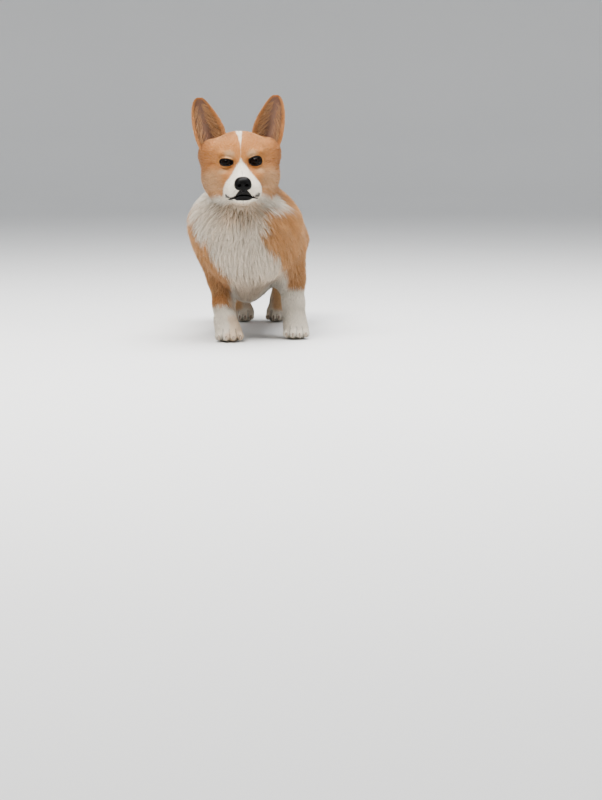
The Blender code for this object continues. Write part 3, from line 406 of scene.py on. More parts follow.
BODY_COAT = (
    ("nape", (0, -100, 300), (0.0, 0.85, -0.5), 30, 11, 0.75),
    ("neck side", (62, -150, 285), (0.25, 0.55, -0.8), 32, 11, 0.75),
    ("ruff", (85, -165, 245), (0.2, 0.5, -0.85), 36, 12, 0.8),
    ("throat front", (0, -215, 235), (0.0, -0.1, -1.0), 30, 10, 0.75),
    ("throat side", (50, -200, 240), (0.25, 0.2, -0.95), 34, 11, 0.75),
    ("bib", (0, -235, 180), (0.0, -0.05, -1.0), 32, 10, 0.75),
    ("bib side", (60, -210, 170), (0.12, 0.2, -1.0), 30, 9, 0.75),
    ("bib low", (0, -215, 125), (0.0, 0.2, -1.0), 29, 9, 0.75),
    ("brisket", (12, -185, 95), (0.0, 0.35, -0.95), 30, 8, 0.85),
    ("between the forelegs", (8, -120, 68), (0.0, 0.5, -0.85), 28, 7, 0.85),
    ("withers side", (60, -70, 262), (0.1, 0.9, -0.4), 27, 9, 0.85),
    ("shoulder top", (78, -110, 252), (0.1, 0.65, -0.7), 30, 9, 0.9),
    ("shoulder", (97, -115, 205), (0.05, 0.5, -0.85), 27, 8, 0.85),
    ("upper arm", (100, -105, 155), (0.0, 0.4, -0.9), 21, 6, 0.75),
    ("elbow", (100, -85, 120), (0.0, 0.5, -0.85), 19, 5, 0.7),
    ("withers", (0, -60, 276), (0.0, 1.0, -0.2), 26, 9, 0.85),
    ("back", (0, 50, 270), (0.0, 1.0, -0.05), 22, 7, 0.8),
    ("back side", (62, 40, 255), (0.1, 1.0, -0.3), 22, 7, 0.8),
    ("ribs", (102, 20, 190), (0.0, 0.85, -0.5), 24, 7, 0.8),
    ("flank", (84, 20, 115), (0.0, 0.7, -0.7), 26, 7, 0.85),
    ("belly", (0, 0, 85), (0.0, 0.75, -0.45), 26, 6, 0.85),
    ("groin", (0, 120, 110), (0.0, 0.8, -0.3), 16, 5, 0.7),
    ("loin", (0, 140, 268), (0.0, 1.0, -0.1), 24, 8, 0.8),
    ("croup", (0, 212, 250), (0.0, 0.8, -0.55), 27, 8, 0.85),
    ("hip", (76, 150, 222), (0.05, 0.8, -0.6), 24, 7, 0.8),
    ("thigh", (99, 150, 165), (0.0, 0.6, -0.8), 22, 6, 0.8),
    ("stifle", (88, 105, 125), (0.0, 0.5, -0.85), 19, 5, 0.7),
    ("breeches", (50, 248, 165), (0.06, 0.3, -0.95), 34, 9, 0.9),
    ("breeches low", (50, 240, 115), (0.02, 0.25, -1.0), 28, 7, 0.8),
    ("below the tail", (0, 246, 170), (0.0, 0.35, -0.95), 24, 6, 0.8),
    ("tail", (0, 258, 222), (0.0, 0.9, -0.4), 26, 6, 0.8),
    ("hock", (46, 232, 78), (0.0, 0.15, -1.0), 10, 3, 0.55),
    ("hind cannon", (41, 224, 46), (0.0, 0.0, -1.0), 7, 2.0, 0.5),
    ("hind paw", (36, 196, 20), (0.0, -0.8, -0.6), 5, 1.3, 0.45),
    ("hind toes", (36, 178, 10), (0.0, -0.8, -0.6), 3.2, 0.7, 0.38),
)
LEG_COAT = (
    ("right forearm", (-38, -140, 78), (0.0, 0.05, -1.0), 12, 3.4, 0.6),
    ("right pastern", (-31, -165, 40), (0.0, -0.1, -1.0), 7, 2.0, 0.5),
    ("right forepaw", (-24, -190, 24), (0.0, -0.85, -0.5), 4.6, 1.1, 0.42),
    ("right toes", (-22, -206, 10), (0.0, -0.85, -0.5), 3.2, 0.7, 0.38),
    ("left forearm", (90, -108, 78), (0.0, 0.05, -1.0), 12, 3.4, 0.6),
    ("left pastern", (94, -117, 40), (0.0, -0.1, -1.0), 7, 2.0, 0.5),
    ("left forepaw", (97, -136, 24), (0.0, -0.85, -0.5), 4.6, 1.1, 0.42),
    ("left toes", (98, -152, 10), (0.0, -0.85, -0.5), 3.2, 0.7, 0.38),
)


def coat_guides():
    """Every row of the coat as a place, a way and the tuft's length, depth and width in metres, on both sides."""
    rows = []
    for table in (HEAD_COAT, BODY_COAT, LEG_COAT):
        for _, place, way, *size in table:
            for sign in (1.0,) if place[0] == 0 or table is LEG_COAT else (1.0, -1.0):
                mirror = np.array([sign, 1.0, 1.0])
                at, toward = np.array(place) * mirror * 0.001, np.array(way) * mirror
                if table is HEAD_COAT:
                    at, toward = from_head(at), HEAD_AXES @ toward
                rows.append((at, toward / np.linalg.norm(toward), np.array(size) * 0.001))
    return rows


def coat_at(p):
    """The way of the coat, and its length, depth and width, blended from the guides nearest to each point."""
    total = np.zeros((len(p), 6))
    share = np.zeros(len(p))
    for place, way, size in coat_guides():
        near = np.linalg.norm(p - place, axis=1)
        weight = 1.0 / (near**4 + 1e-8)
        total += weight[:, None] * np.concatenate([way, size])[None, :]
        share += weight
    total /= share[:, None]
    total[:, :3] /= np.linalg.norm(total[:, :3], axis=1)[:, None]
    return total[:, :3], total[:, 3:]


class Grid:
    """Numbers on an even grid over a box, read between its points."""

    def __init__(self, low, cell, values):
        self.low = np.asarray(low)
        self.cell = cell
        self.values = values

    def at(self, p):
        q = (p - self.low) / self.cell
        top = np.array(self.values.shape[:3]) - 2
        base = np.clip(np.floor(q).astype(int), 0, top)
        part = np.clip(q - base, 0.0, 1.0)
        total = 0.0
        for i in (0, 1):
            for j in (0, 1):
                for k in (0, 1):
                    weight = np.abs(1 - i - part[:, 0]) * np.abs(1 - j - part[:, 1]) * np.abs(1 - k - part[:, 2])
                    total = total + weight * self.values[base[:, 0] + i, base[:, 1] + j, base[:, 2] + k]
        return total

    def outward(self, p):
        slope = np.empty_like(p)
        for axis in range(3):
            shift = np.zeros(3)
            shift[axis] = self.cell
            slope[:, axis] = self.at(p + shift) - self.at(p - shift)
        return slope / np.maximum(np.linalg.norm(slope, axis=1), 1e-9)[:, None]

    def inside(self, p):
        high = self.low + self.cell * (np.array(self.values.shape[:3]) - 3)
        return ((p > self.low + 2.0 * self.cell) & (p < high)).all(axis=1)


def grid_points(low, high, cell):
    axes = [np.arange(a, b + cell, cell) for a, b in zip(low, high)]
    return np.stack(np.meshgrid(*axes, indexing="ij"), axis=-1)


def grid_of_field(field, low, high, cell, coarse=4):
    """A field worked out on a grid, finely only near its surface."""
    band = 2.5 * cell * coarse
    blocks = grid_points(low, high, cell * coarse)
    rough = field(blocks.reshape(-1, 3)).reshape(blocks.shape[:3])
    values = rough.repeat(coarse, 0).repeat(coarse, 1).repeat(coarse, 2)
    near = np.argwhere(np.abs(values) < band)
    values[tuple(near.T)] = field(near * cell + np.asarray(low))
    return Grid(low, cell, np.clip(values, -band, band))


def surface_of_grid(grid):
    """The corners and four-sided faces of a grid's zero surface."""
    vdb = openvdb.FloatGrid(background=float(grid.values.max()))
    vdb.copyFromArray(grid.values.astype(np.float32))
    points, quads = vdb.convertToQuads(0.0)
    return points * grid.cell + grid.low, quads


# The boxes of the head's and the body's grids, and the plane in the ruff where the two skins meet
HEAD_LOW, HEAD_HIGH = (-0.090, -0.330, 0.225), (0.100, -0.105, 0.405)
BODY_LOW, BODY_HIGH = (-0.135, -0.340, -0.006), (0.145, 0.300, 0.400)
SKIN_CUT = ((0.0, -0.176, 0.262), (0.0, -0.62, 0.785))
DEPTH_CELL = 0.010
BODY_CELL, HEAD_CELL, NOSE_CELL = 0.0028, 0.0011, 0.00045


def tail_field(p):
    """The short tail."""
    return limb(p, (0.0, 0.222, 0.226), (0.0, 0.256, 0.212), 0.0180, 0.0110)


def skin_field(p, depth):
    """The dog without its coat: every form drawn in by the coat's depth there. The soles stay on the floor."""
    field = melt(torso_field(p), neck_field(p), 0.035)
    field = melt(field, legs_field(p, RIGHT_FORELEG, LEFT_FORELEG, "forepaw", 0.012), 0.022)
    hindlegs = legs_field(p, hindleg_points("right"), hindleg_points("left"), "hindpaw", 0.010)
    field = melt(field, hindlegs, 0.020)
    field = melt(field, tail_field(p), 0.010) + depth
    field = melt(field, head_field(to_head(p), depth), 0.016)
    return np.maximum(field, -p[:, 2] + 0.0002)


FORM = {}  # the grids that form() has made


def form():
    """The skin's grids, made once: a coarse one for the body and a fine one for the head."""
    if not FORM:
        coat = grid_points(BODY_LOW, BODY_HIGH, DEPTH_CELL)
        depth = Grid(BODY_LOW, DEPTH_CELL, coat_at(coat.reshape(-1, 3))[1][:, 1].reshape(coat.shape[:3]))

        def skin(p):
            return skin_field(p, depth.at(p))

        FORM["body"] = grid_of_field(skin, BODY_LOW, BODY_HIGH, BODY_CELL)
        FORM["head"] = grid_of_field(skin, HEAD_LOW, HEAD_HIGH, HEAD_CELL)
    return FORM


def skin_height(p):
    """The height of each point above the skin, and the outward way there."""
    grids = form()
    head = grids["head"].inside(p)
    height = grids["body"].at(p)
    normal = grids["body"].outward(p)
    if head.any():
        height[head] = grids["head"].at(p[head])
        normal[head] = grids["head"].outward(p[head])
    return height, normal


# Markings


def smooth(low, high, value):
    """0 at low, 1 at high and a soft step between. low may be over high."""
    share = np.clip((value - low) / (high - low), 0.0, 1.0)
    return share * share * (3.0 - 2.0 * share)


def wander(p, size, seed):
    """A soft wave over space between -1 and 1, about size from crest to crest."""
    rng = np.random.default_rng(seed)
    total = np.zeros(len(p))
    for _ in range(6):
        way = rng.normal(size=3)
        way *= 2.0 * math.pi / (size * np.linalg.norm(way))
        total += np.sin(p @ way + rng.uniform(0.0, 6.28))
    return total / 3.2


# Planes, each as a point and the way ahead: where the collar begins, and where the face ends behind
COLLAR_PLANE = ((0.0, -0.132, 0.272), (0.0, -0.80, 0.60))
FACE_PLANE = ((0.0, -0.176, 0.277), (0.0, -0.845, 0.535))

# Heights in the head's axes, and half the width of the blaze there: hair-thin between the eyes
BLAZE = (
    (-0.045, -0.034, -0.020, -0.012, -0.006, -0.001, 0.006, 0.025, 0.038, 0.052, 0.058),
    (0.0325, 0.0273, 0.0160, 0.0115, 0.0075, 0.0030, 0.0, 0.0, 0.0024, 0.0056, 0.0),
)
# Heights in the head's axes, and half the width of the black point between the nose and the chin
CHIN = (
    (-0.0683, -0.0675, -0.0650, -0.0600, -0.0560, -0.0520, -0.0490, -0.0480),
    (0.0, 0.0115, 0.0158, 0.0165, 0.0130, 0.0098, 0.0070, 0.0),
)
# Distances from the middle, and how far the black of the lip hangs below the slit there
LIP_EDGE = ((0.010, 0.022, 0.029), (0.0050, 0.0024, 0.0065))
# Two dark spots at the corners of the lips: the middle and the radius
LIP_SPOTS = (((-0.0270, -0.0440, -0.0630), 0.0108), ((0.0258, -0.0500, -0.0618), 0.0092))

# Heights over the floor, and how far the bib reaches from the middle there on the right and on the left
BIB_HEIGHTS = (0.06, 0.10, 0.13, 0.155, 0.18, 0.21, 0.235, 0.26, 0.29)
BIB_RIGHT = (0.022, 0.014, 0.024, 0.038, 0.043, 0.047, 0.066, 0.09, 0.12)
BIB_LEFT = (0.062, 0.064, 0.078, 0.072, 0.048, 0.038, 0.035, 0.038, 0.046)

# Soft round spots in the head's axes (x outward): the middle, the radii where they end, and the share of the
# radii over which they are full
BROW_SPOT = ((0.0195, -0.008, 0.0122), (0.0130, 0.018, 0.0100), 0.3)
CHEEK_SPOT = ((0.050, 0.012, -0.034), (0.036, 0.045, 0.030), 0.35)
UNDER_EYE_SPOT = ((0.032, -0.004, -0.018), (0.016, 0.016, 0.008), 0.3)
BEHIND_EYE_SPOT = ((0.052, 0.014, -0.002), (0.016, 0.022, 0.0045), 0.2)
STOP_SPOT = ((0.012, -0.006, -0.006), (0.009, 0.014, 0.014), 0.2)

# The seeds of the waves that the markings and the coat share
WAVE_SEED, FINE_SEED, SWIRL_SEED, LOCK_SEED, DRIFT_SEED, TONE_SEED = 3, 4, 8, 11, 12, 21


def spot(q, middle, radii, full):
    return smooth(1.0, full, np.linalg.norm((q - middle) / radii, axis=1))


def face_white(q, wave, fine):
    """White of the blaze, the muzzle and the jaw. q is in the head's axes, with both sides folded into one."""
    side, y, z = q.T
    blaze = (np.interp(z, *BLAZE) + 0.0005 * fine) * np.where(z > -0.006, 1.0, smooth(0.020, 0.008, y))
    blaze = smooth(0.0008, -0.0008, side - blaze) * (y < 0.050)
    muzzle = ellipsoid(q, (0.0, -0.036, -0.058), (0.0365, 0.050, 0.034))
    muzzle = smooth(0.0025, -0.0025, muzzle + 0.003 * wave)
    jaw = smooth(-0.052, -0.062, z + 0.004 * wave + 0.10 * (side - 0.03)) * (y < 0.10)
    return np.max([blaze, muzzle, jaw], axis=0)


def bib_white(p, wave, fine):
    """White of the bib on the throat and the forechest."""
    x, y, z = p.T
    edge = np.where(x < 0.0, np.interp(z, BIB_HEIGHTS, BIB_RIGHT), np.interp(z, BIB_HEIGHTS, BIB_LEFT))
    bib = smooth(0.005, -0.005, np.abs(x) - edge + 0.005 * wave + 0.003 * fine)
    return bib * (smooth(-0.070, -0.115, y + 0.15 * (z - 0.10)) * smooth(0.305, 0.285, z))


def collar_white(p, behind_face, wave):
    """White of the collar, which ends sooner on the front of the dog's left shoulder."""
    collar = ahead_of(COLLAR_PLANE, p) + 0.008 * wave
    collar = collar - 0.042 * smooth(0.0, 0.035, p[:, 0]) * smooth(-0.10, -0.14, p[:, 1])
    return smooth(-0.006, 0.006, collar) * smooth(0.005, -0.005, behind_face)


def add_belly_and_legs(white, p, wave):
    """The white with that of the belly, the forelegs and the hind feet."""
    x, y, z = p.T
    belly = smooth(0.118, 0.104, z + 0.006 * wave + 0.25 * np.abs(y - 0.02) * (y > 0.0))
    belly = belly * (np.abs(x) < 0.072 + 0.01 * wave) * (y < 0.16) * (y > -0.10)
    right = x < 0.03
    sock = smooth(0.004, -0.004, z - (np.where(right, 0.066, 0.098) + 0.004 * wave))
    inner = smooth(-0.004, 0.004, np.where(right, x + 0.024, 0.082 - x)) * (z < 0.125)
    foreleg = np.maximum(sock, inner) * (z < 0.13) * (y < -0.04)
    hind_foot = smooth(0.030, 0.020, z + 0.004 * wave) + 0.75 * smooth(0.036, 0.026, np.abs(x)) * (z < 0.10)
    return np.max([white, belly, foreleg, np.minimum(hind_foot, 1.0) * (y > 0.12)], axis=0)


def pale_places(p, q, face, wave):
    """Pale cream of the brows, cheeks, breeches, hocks and flanks, and a light wash behind the face."""
    _, y, z = p.T
    return np.max([
        0.80 * spot(q, *BROW_SPOT),
        0.55 * spot(q, *CHEEK_SPOT),
        0.60 * spot(q, *UNDER_EYE_SPOT),
        0.80 * (smooth(0.205, 0.245, y) * smooth(0.215, 0.170, z)),
        0.85 * (smooth(0.110, 0.070, z) * (y > 0.12)),
        0.60 * smooth(0.150, 0.105, z) * (y > -0.05),
        0.35 * smooth(0.04, 0.0, np.abs(y + 0.055)) * smooth(0.26, 0.2, z),
        (0.28 + 0.10 * wave) * (1.0 - face),
    ], axis=0)


def eye_rims(q):
    """Black of the rims of the eyes and their inner corners."""
    rim = np.zeros(len(q))
    for side, sign in SIDES.items():
        e = (q - eye_centre(side)) @ eye_axes(side)
        edge = smooth(0.0034, 0.0012, lid_opening_field(e, side))
        near = smooth(0.0148, 0.0130, np.linalg.norm(e, axis=1)) * (e[:, 1] < 0.003)
        corner = np.linalg.norm(e - np.array([-0.0116 * sign, -0.004, -0.0012]), axis=1)
        rim = np.max([rim, edge * near, smooth(0.0026, 0.0012, corner)], axis=0)
    return rim


def lip_marks(q):
    """Black of the lips: the slit, the edge that hangs below it, the point below the nose and the corners."""
    side = np.abs(q[:, 0])
    ahead = smooth(-0.002, -0.008, q[:, 1])
    drop = mouth_level(q) - q[:, 2]
    slit = smooth(0.0028, 0.0016, np.abs(drop)) * ahead
    edge = smooth(0.0006, -0.0006, drop - np.interp(side, *LIP_EDGE)) * (drop > 0.0) * ahead * (side > 0.008)
    chin = smooth(0.0010, -0.0010, side - np.interp(q[:, 2], *CHIN)) * smooth(-0.032, -0.038, q[:, 1])
    corners = [0.9 * smooth(size, 0.70 * size, np.linalg.norm(q - at, axis=1)) for at, size in LIP_SPOTS]
    return np.max([slit, edge, chin, *corners], axis=0)


def toe_gaps(p):
    """Shade in the three gaps between the toes of each paw."""
    shade = np.zeros(len(p))
    for sole, width in PAWS.values():
        x, y, _ = to_paw(p, sole).T
        spread = np.interp(y, (-0.42 * width, -0.02 * width), (1.0, 0.72)) * width
        gap = np.min([np.abs(x - share * spread) for share in (-0.2475, 0.0, 0.2475)], axis=0)
        toes = (y < -0.08 * width) & (y > -0.7 * width) & (p[:, 2] < 0.025) & (np.abs(x) < width)
        shade = np.maximum(shade, 0.5 * smooth(0.0017, 0.0005, gap) * toes)
    return shade


def markings(p):
    """Shares of white, pale, dark and deep ginger at each point of the skin."""
    q = to_head(p)
    folded = mirrored(q)
    x, y, z = p.T
    side, ahead, rise = folded.T
    wave = wander(p, 0.035, WAVE_SEED)
    fine = wander(p, 0.012, FINE_SEED)
    behind_face = ahead_of(FACE_PLANE, p) + 0.006 * wave
    behind_face = behind_face + 0.034 * (smooth(0.052, 0.020, np.abs(x)) * smooth(0.300, 0.345, z))
    face = smooth(-0.006, 0.006, behind_face)
    bib = bib_white(p, wave, fine)
    white = np.maximum(collar_white(p, behind_face, wave), bib)
    white = add_belly_and_legs(white, p, wave)
    in_head = (ahead < 0.062) & (rise > -0.085)
    white = np.where(in_head, np.maximum(face_white(folded, wave, fine), white * (1.0 - face)), white)
    pale = pale_places(p, folded, face * smooth(-0.095, -0.080, rise), wave)
    # the white of the bib is creamy, with tan swirls at the throat; the extra cream low on the brisket is painted
    # shade
    throat = smooth(0.045, 0.025, np.abs(x - 0.004)) * smooth(0.215, 0.235, z) * smooth(0.285, 0.262, z)
    swirl = smooth(-0.2, 0.9, np.sin(26.0 * wander(p, 0.10, SWIRL_SEED) + 220.0 * z))
    cream = 0.20 + 0.30 * smooth(0.15, 0.11, z) + throat * (0.15 + 0.40 * swirl)
    cream = cream * bib * smooth(-0.12, -0.16, y) * (rise < -0.070)
    white = white * (1.0 - cream)
    pale = np.maximum(pale, smooth(0.0, 0.10, cream))
    # dark: the black of the eyes' rims, the lips and the nose's edge, with painted shade between the toes, on the
    # brisket and over the whites below the head, most at the throat
    nose = smooth(0.0009, 0.0002, nose_leather_field(q))
    # painted shade under the chest, on the brisket
    brisket = smooth(0.136, 0.116, z + 0.006 * wave) * smooth(0.058, 0.040, np.abs(x - 0.02))
    brisket = 0.26 * brisket * (y < 0.15) * (z > 0.06)
    # painted shade over the whites below the head, deeper at the throat
    below = white * (0.07 + 0.06 * throat) * (rise < -0.075)
    dark = np.max([eye_rims(q), lip_marks(q), toe_gaps(p), nose, brisket, below], axis=0)
    deep = np.max([
        0.40 * (smooth(0.19, 0.26, z) * smooth(-0.08, 0.0, y)),
        0.80 * spot(folded, *BEHIND_EYE_SPOT),
        0.55 * spot(folded, *STOP_SPOT),
        # deeper ginger on the head's sides is painted shade, where the sides turn away from the light
        0.50 * smooth(0.046, 0.064, side) * (rise > -0.07) * (ahead < 0.08) * (ahead > -0.03),
        0.50 * smooth(0.17, 0.11, z) * (y < 0.0),
    ], axis=0)
    return np.stack([white, pale * (1.0 - dark), dark, deep], axis=1)


def ahead_of(plane, p):
    """How far each point lies on the side of a plane that its way points to."""
    point, way = plane
    way = np.asarray(way) / np.linalg.norm(way)
    return (p - np.asarray(point)) @ way


def design_shift():
    """From the forms' own frame to the frame of the solids, whose box is centred on the floor."""
    low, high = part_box("eye_left")
    middle = (np.array(low) + np.array(high)) / 2.0
    return middle - from_head(eye_centre("left"))


# Pieces and materials


def finish_piece(name, mesh, material):
    """A mesh in the frame of the solids as a piece that rides on the dog."""
    mesh.materials.append(material)
    piece = bpy.data.objects.new(name, mesh)
    bpy.context.scene.collection.objects.link(piece)
    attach(piece, "root")
    return piece


def add_piece(name, points, faces, material):
    """A smooth piece from arrays in the forms' own frame. faces is (n, 3) or (n, 4)."""
    mesh = bpy.data.meshes.new(name)
    points = np.asarray(points, dtype=np.float64) + design_shift()
    faces = np.asarray(faces)
    mesh.vertices.add(len(points))
    mesh.vertices.foreach_set("co", points.astype(np.float32).ravel())
    mesh.loops.add(faces.size)
    mesh.loops.foreach_set("vertex_index", faces.astype(np.int32).ravel())
    mesh.polygons.add(len(faces))
    mesh.polygons.foreach_set("loop_start", (np.arange(len(faces)) * faces.shape[1]).astype(np.int32))
    mesh.update(calc_edges=True)
    mesh.polygons.foreach_set("use_smooth", np.full(len(faces), True))
    return finish_piece(name, mesh, material)


def fill_mesh(mesh, build):
    """Writes a bmesh into a mesh with smooth faces, and frees it."""
    for face in build.faces:
        face.smooth = True
    build.to_mesh(mesh)
    build.free()
    return mesh


def put_numbers(piece, name, values):
    """One number for each point, for the materials to read."""
    layer = piece.data.attributes.new(name, "FLOAT", "POINT")
    layer.data.foreach_set("value", np.asarray(values, dtype=np.float32))


MARKS = ("white", "pale", "dark", "deep")


def put_marks(piece, marks):
    for i, name in enumerate(MARKS):
        put_numbers(piece, name, marks[:, i])


def new_group(name, inputs, outputs):
    """A shader node group with named sockets. Each input is its name, kind and default."""
    group = bpy.data.node_groups.new(name, "ShaderNodeTree")
    for label, kind, default in inputs:
        socket = group.interface.new_socket(name=label, in_out="INPUT", socket_type="NodeSocket" + kind)
        socket.default_value = default
    for label, kind in outputs:
        group.interface.new_socket(name=label, in_out="OUTPUT", socket_type="NodeSocket" + kind)
    return group, group.nodes.new("NodeGroupInput"), group.nodes.new("NodeGroupOutput")


def mix_colour(tree, factor, first, second, blend="MIX"):
    node = tree.nodes.new("ShaderNodeMix")
    node.data_type = "RGBA"
    node.blend_type = blend
    for socket, value in ((0, factor), (6, first), (7, second)):
        if isinstance(value, bpy.types.NodeSocket):
            tree.links.new(value, node.inputs[socket])
        elif socket == 0:
            node.inputs[0].default_value = value
        else:
            node.inputs[socket].default_value = (*value, 1.0)
    return node.outputs[2]


def maths(tree, operation, *values):
    node = tree.nodes.new("ShaderNodeMath")
    node.operation = operation
    for socket, value in enumerate(values):
        if isinstance(value, bpy.types.NodeSocket):
            tree.links.new(value, node.inputs[socket])
        else:
            node.inputs[socket].default_value = value
    return node.outputs[0]


def fade(tree, value, low, high):
    """A soft step in a shader, from 0 at low to 1 at high."""
    node = tree.nodes.new("ShaderNodeMapRange")
    node.interpolation_type = "SMOOTHSTEP"
    node.inputs["From Min"].default_value = low
    node.inputs["From Max"].default_value = high
    tree.links.new(value, node.inputs["Value"])
    return node.outputs["Result"]


def texture(tree, kind, **values):
    """A texture node laid over the piece's own metres."""
    node = tree.nodes.new("ShaderNodeTex" + kind)
    for label, value in values.items():
        node.inputs[label].default_value = value
    place = tree.nodes.new("ShaderNodeTexCoord")
    tree.links.new(place.outputs["Object"], node.inputs["Vector"])
    return node


def numbers(tree, name):
    """A piece's own numbers, read by their name."""
    node = tree.nodes.new("ShaderNodeAttribute")
    node.attribute_type = "GEOMETRY"
    node.attribute_name = name
    return node.outputs["Fac"]


def mark_inputs(tree):
    return {name.title(): numbers(tree, name) for name in MARKS}


def coat_colour_group():
    """The coat's colour from its marks: ginger, deep ginger, pale cream, white, and black for the rims and for
    painted shade, with painted shade darker towards each tuft's root.
    """
    if "Coat colour" in bpy.data.node_groups:
        return bpy.data.node_groups["Coat colour"]
    coat = bpy.context.scene.corgi_coat
    inputs = [(name.title(), "Float", 0.0) for name in MARKS] + [("Tone", "Float", 0.0), ("Along", "Float", 1.0)]
    colours = {"Ginger": coat.ginger, "Deep ginger": coat.deep_ginger, "Cream": coat.cream,
               "White fur": coat.white, "Black": coat.black}
    inputs += [(label, "Color", (*value, 1.0)) for label, value in colours.items()]
    group, source, result = new_group("Coat colour", inputs, [("Color", "Color")])
    read = source.outputs
    colour = mix_colour(group, read["Deep"], read["Ginger"], read["Deep ginger"])
    colour = mix_colour(group, read["Pale"], colour, read["Cream"])
    colour = mix_colour(group, read["White"], colour, read["White fur"])
    tone = maths(group, "MULTIPLY_ADD", read["Tone"], 0.13, 1.0)
    # painted shade: each tuft is darker towards its root, among its neighbours
    shade = maths(group, "MULTIPLY_ADD", read["Along"], 0.20, 0.83)
    light = maths(group, "MULTIPLY", tone, shade)
    combine = group.nodes.new("ShaderNodeCombineColor")
    for i in range(3):
        group.links.new(light, combine.inputs[i])
    colour = mix_colour(group, 1.0, colour, combine.outputs[0], "MULTIPLY")
    colour = mix_colour(group, read["Dark"], colour, read["Black"])
    group.links.new(colour, result.inputs["Color"])
    return group


def fine_grain_group():
    """Fine fibres for bump: noise drawn out along one axis, in metres."""
    if "Fine grain" in bpy.data.node_groups:
        return bpy.data.node_groups["Fine grain"]
    inputs = [("Size", "Float", 900.0), ("Stretch", "Vector", (1.0, 1.0, 0.3))]
    group, source, result = new_group("Fine grain", inputs, [("Height", "Float")])
    place = group.nodes.new("ShaderNodeTexCoord")
    scale = group.nodes.new("ShaderNodeVectorMath")
    scale.operation = "MULTIPLY"
    group.links.new(place.outputs["Object"], scale.inputs[0])
    group.links.new(source.outputs["Stretch"], scale.inputs[1])
    noise = group.nodes.new("ShaderNodeTexNoise")
    noise.inputs["Detail"].default_value = 3.0
    group.links.new(scale.outputs[0], noise.inputs["Vector"])
    group.links.new(source.outputs["Size"], noise.inputs["Scale"])
    group.links.new(noise.outputs["Fac"], result.inputs["Height"])
    return group


def new_material(name, roughness, **constants):
    """A material with a few constants on its shader. Spaces in their labels are written as underscores."""
    material = bpy.data.materials.new(name)
    material.use_nodes = True
    shader = material.node_tree.nodes["Principled BSDF"]
    shader.inputs["Roughness"].default_value = roughness
    for label, value in constants.items():
        shader.inputs[label.replace("_", " ")].default_value = value
    return material, material.node_tree, shader


def place_group(tree, group, **values):
    """A node group in a material, with constants or links on its inputs."""
    node = tree.nodes.new("ShaderNodeGroup")
    node.node_tree = group
    for label, value in values.items():
        socket = node.inputs[label.replace("_", " ")]
        if isinstance(value, bpy.types.NodeSocket):
            tree.links.new(value, socket)
        else:
            socket.default_value = value
    return node


def add_bump(tree, shader, height, strength, distance):
    bump = tree.nodes.new("ShaderNodeBump")
    bump.inputs["Strength"].default_value = strength
    bump.inputs["Distance"].default_value = distance
    tree.links.new(height, bump.inputs["Height"])
    tree.links.new(bump.outputs["Normal"], shader.inputs["Normal"])


def fur_material():
    """The tufts: soft, dull, with painted shade that darkens them towards their roots."""
    if "Fur" in bpy.data.materials:
        return bpy.data.materials["Fur"]
    constants = {"Sheen_Weight": 0.12, "Sheen_Roughness": 0.45, "Specular_IOR_Level": 0.28}
    material, tree, shader = new_material("Fur", 0.62, **constants)
    own = {"Tone": numbers(tree, "tone"), "Along": numbers(tree, "along")}
    group = place_group(tree, coat_colour_group(), **own, **mark_inputs(tree))
    tree.links.new(group.outputs["Color"], shader.inputs["Base Color"])
    return material


def skin_material():
    """The skin below the coat: the same marks, with short fur as bump."""
    if "Skin" in bpy.data.materials:
        return bpy.data.materials["Skin"]
    material, tree, shader = new_material("Skin", 0.7, Specular_IOR_Level=0.25)
    grain = place_group(tree, fine_grain_group(), Size=1300.0, Stretch=(1.0, 0.35, 0.6))
    tone = maths(tree, "MULTIPLY_ADD", grain.outputs["Height"], 2.4, -1.2)
    # painted shade on the skin below the coat, as partway up a tuft
    group = place_group(tree, coat_colour_group(), Tone=tone, Along=0.45, **mark_inputs(tree))
    tree.links.new(group.outputs["Color"], shader.inputs["Base Color"])
    add_bump(tree, shader, grain.outputs["Height"], 0.5, 0.0006)
    return material


# The skin


# How many of the skin's faces come from the head's grid, set by make_skin
HEAD_FACES = {}


def make_skin():
    """One skin for the whole dog: the head from the fine grid, the rest from the coarse one, met in the ruff."""
    grids = form()
    parts = []
    for name, sign in (("head", 1.0), ("body", -1.0)):
        points, quads = surface_of_grid(grids[name])
        height = ahead_of(SKIN_CUT, points)
        keep = (sign * height[quads] > -grids[name].cell).all(axis=1)
        if name == "head":
            # the grid's open back face is left out
            keep &= (points[quads][:, :, 1] < HEAD_HIGH[1] - 0.004).all(axis=1)
        quads = quads[keep]
        used, quads = np.unique(quads, return_inverse=True)
        parts.append((points[used], quads.reshape(-1, 4)))
    (head_points, head_faces), (body_points, body_faces) = parts
    points = np.concatenate([head_points, body_points])
    faces = np.concatenate([head_faces, body_faces + len(head_points)])
    HEAD_FACES["count"] = len(head_faces)
    skin = add_piece("skin", points, faces, skin_material())
    put_marks(skin, markings(points))
    flesh = ["head", "neck", "torso", "tail"]
    for side in SIDES:
        flesh += [part + side for part in ("foreleg_", "forepaw_", "thigh_", "hock_", "hindpaw_")]
    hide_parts(*flesh)
    return points, faces


# The coat

REGION_SLOTS = {
    "head": "head_surface", "neck": "neck_surface", "torso": "torso_surface", "tail": "tail_surface",
    "foreleg_right": "foreleg_right_surface", "foreleg_left": "foreleg_left_surface",
    "hindleg_right": "thigh_right_surface", "hindleg_left": "thigh_left_surface",
}
NECK_PLANE = ((0.0, -0.150, 0.170), (0.0, -0.80, 0.60))
STRAY_SHARE = 0.03  # tufts that stand out and turn aside
NO_TUFTS_DARK = 0.30  # skin marked darker than this stays bare
FEWEST_TUFTS = 20  # a region with fewer gets no piece
LARGEST_PIECE = 185000  # in triangles
LOCK_PULL = 0.42  # how far tufts lean to their lock


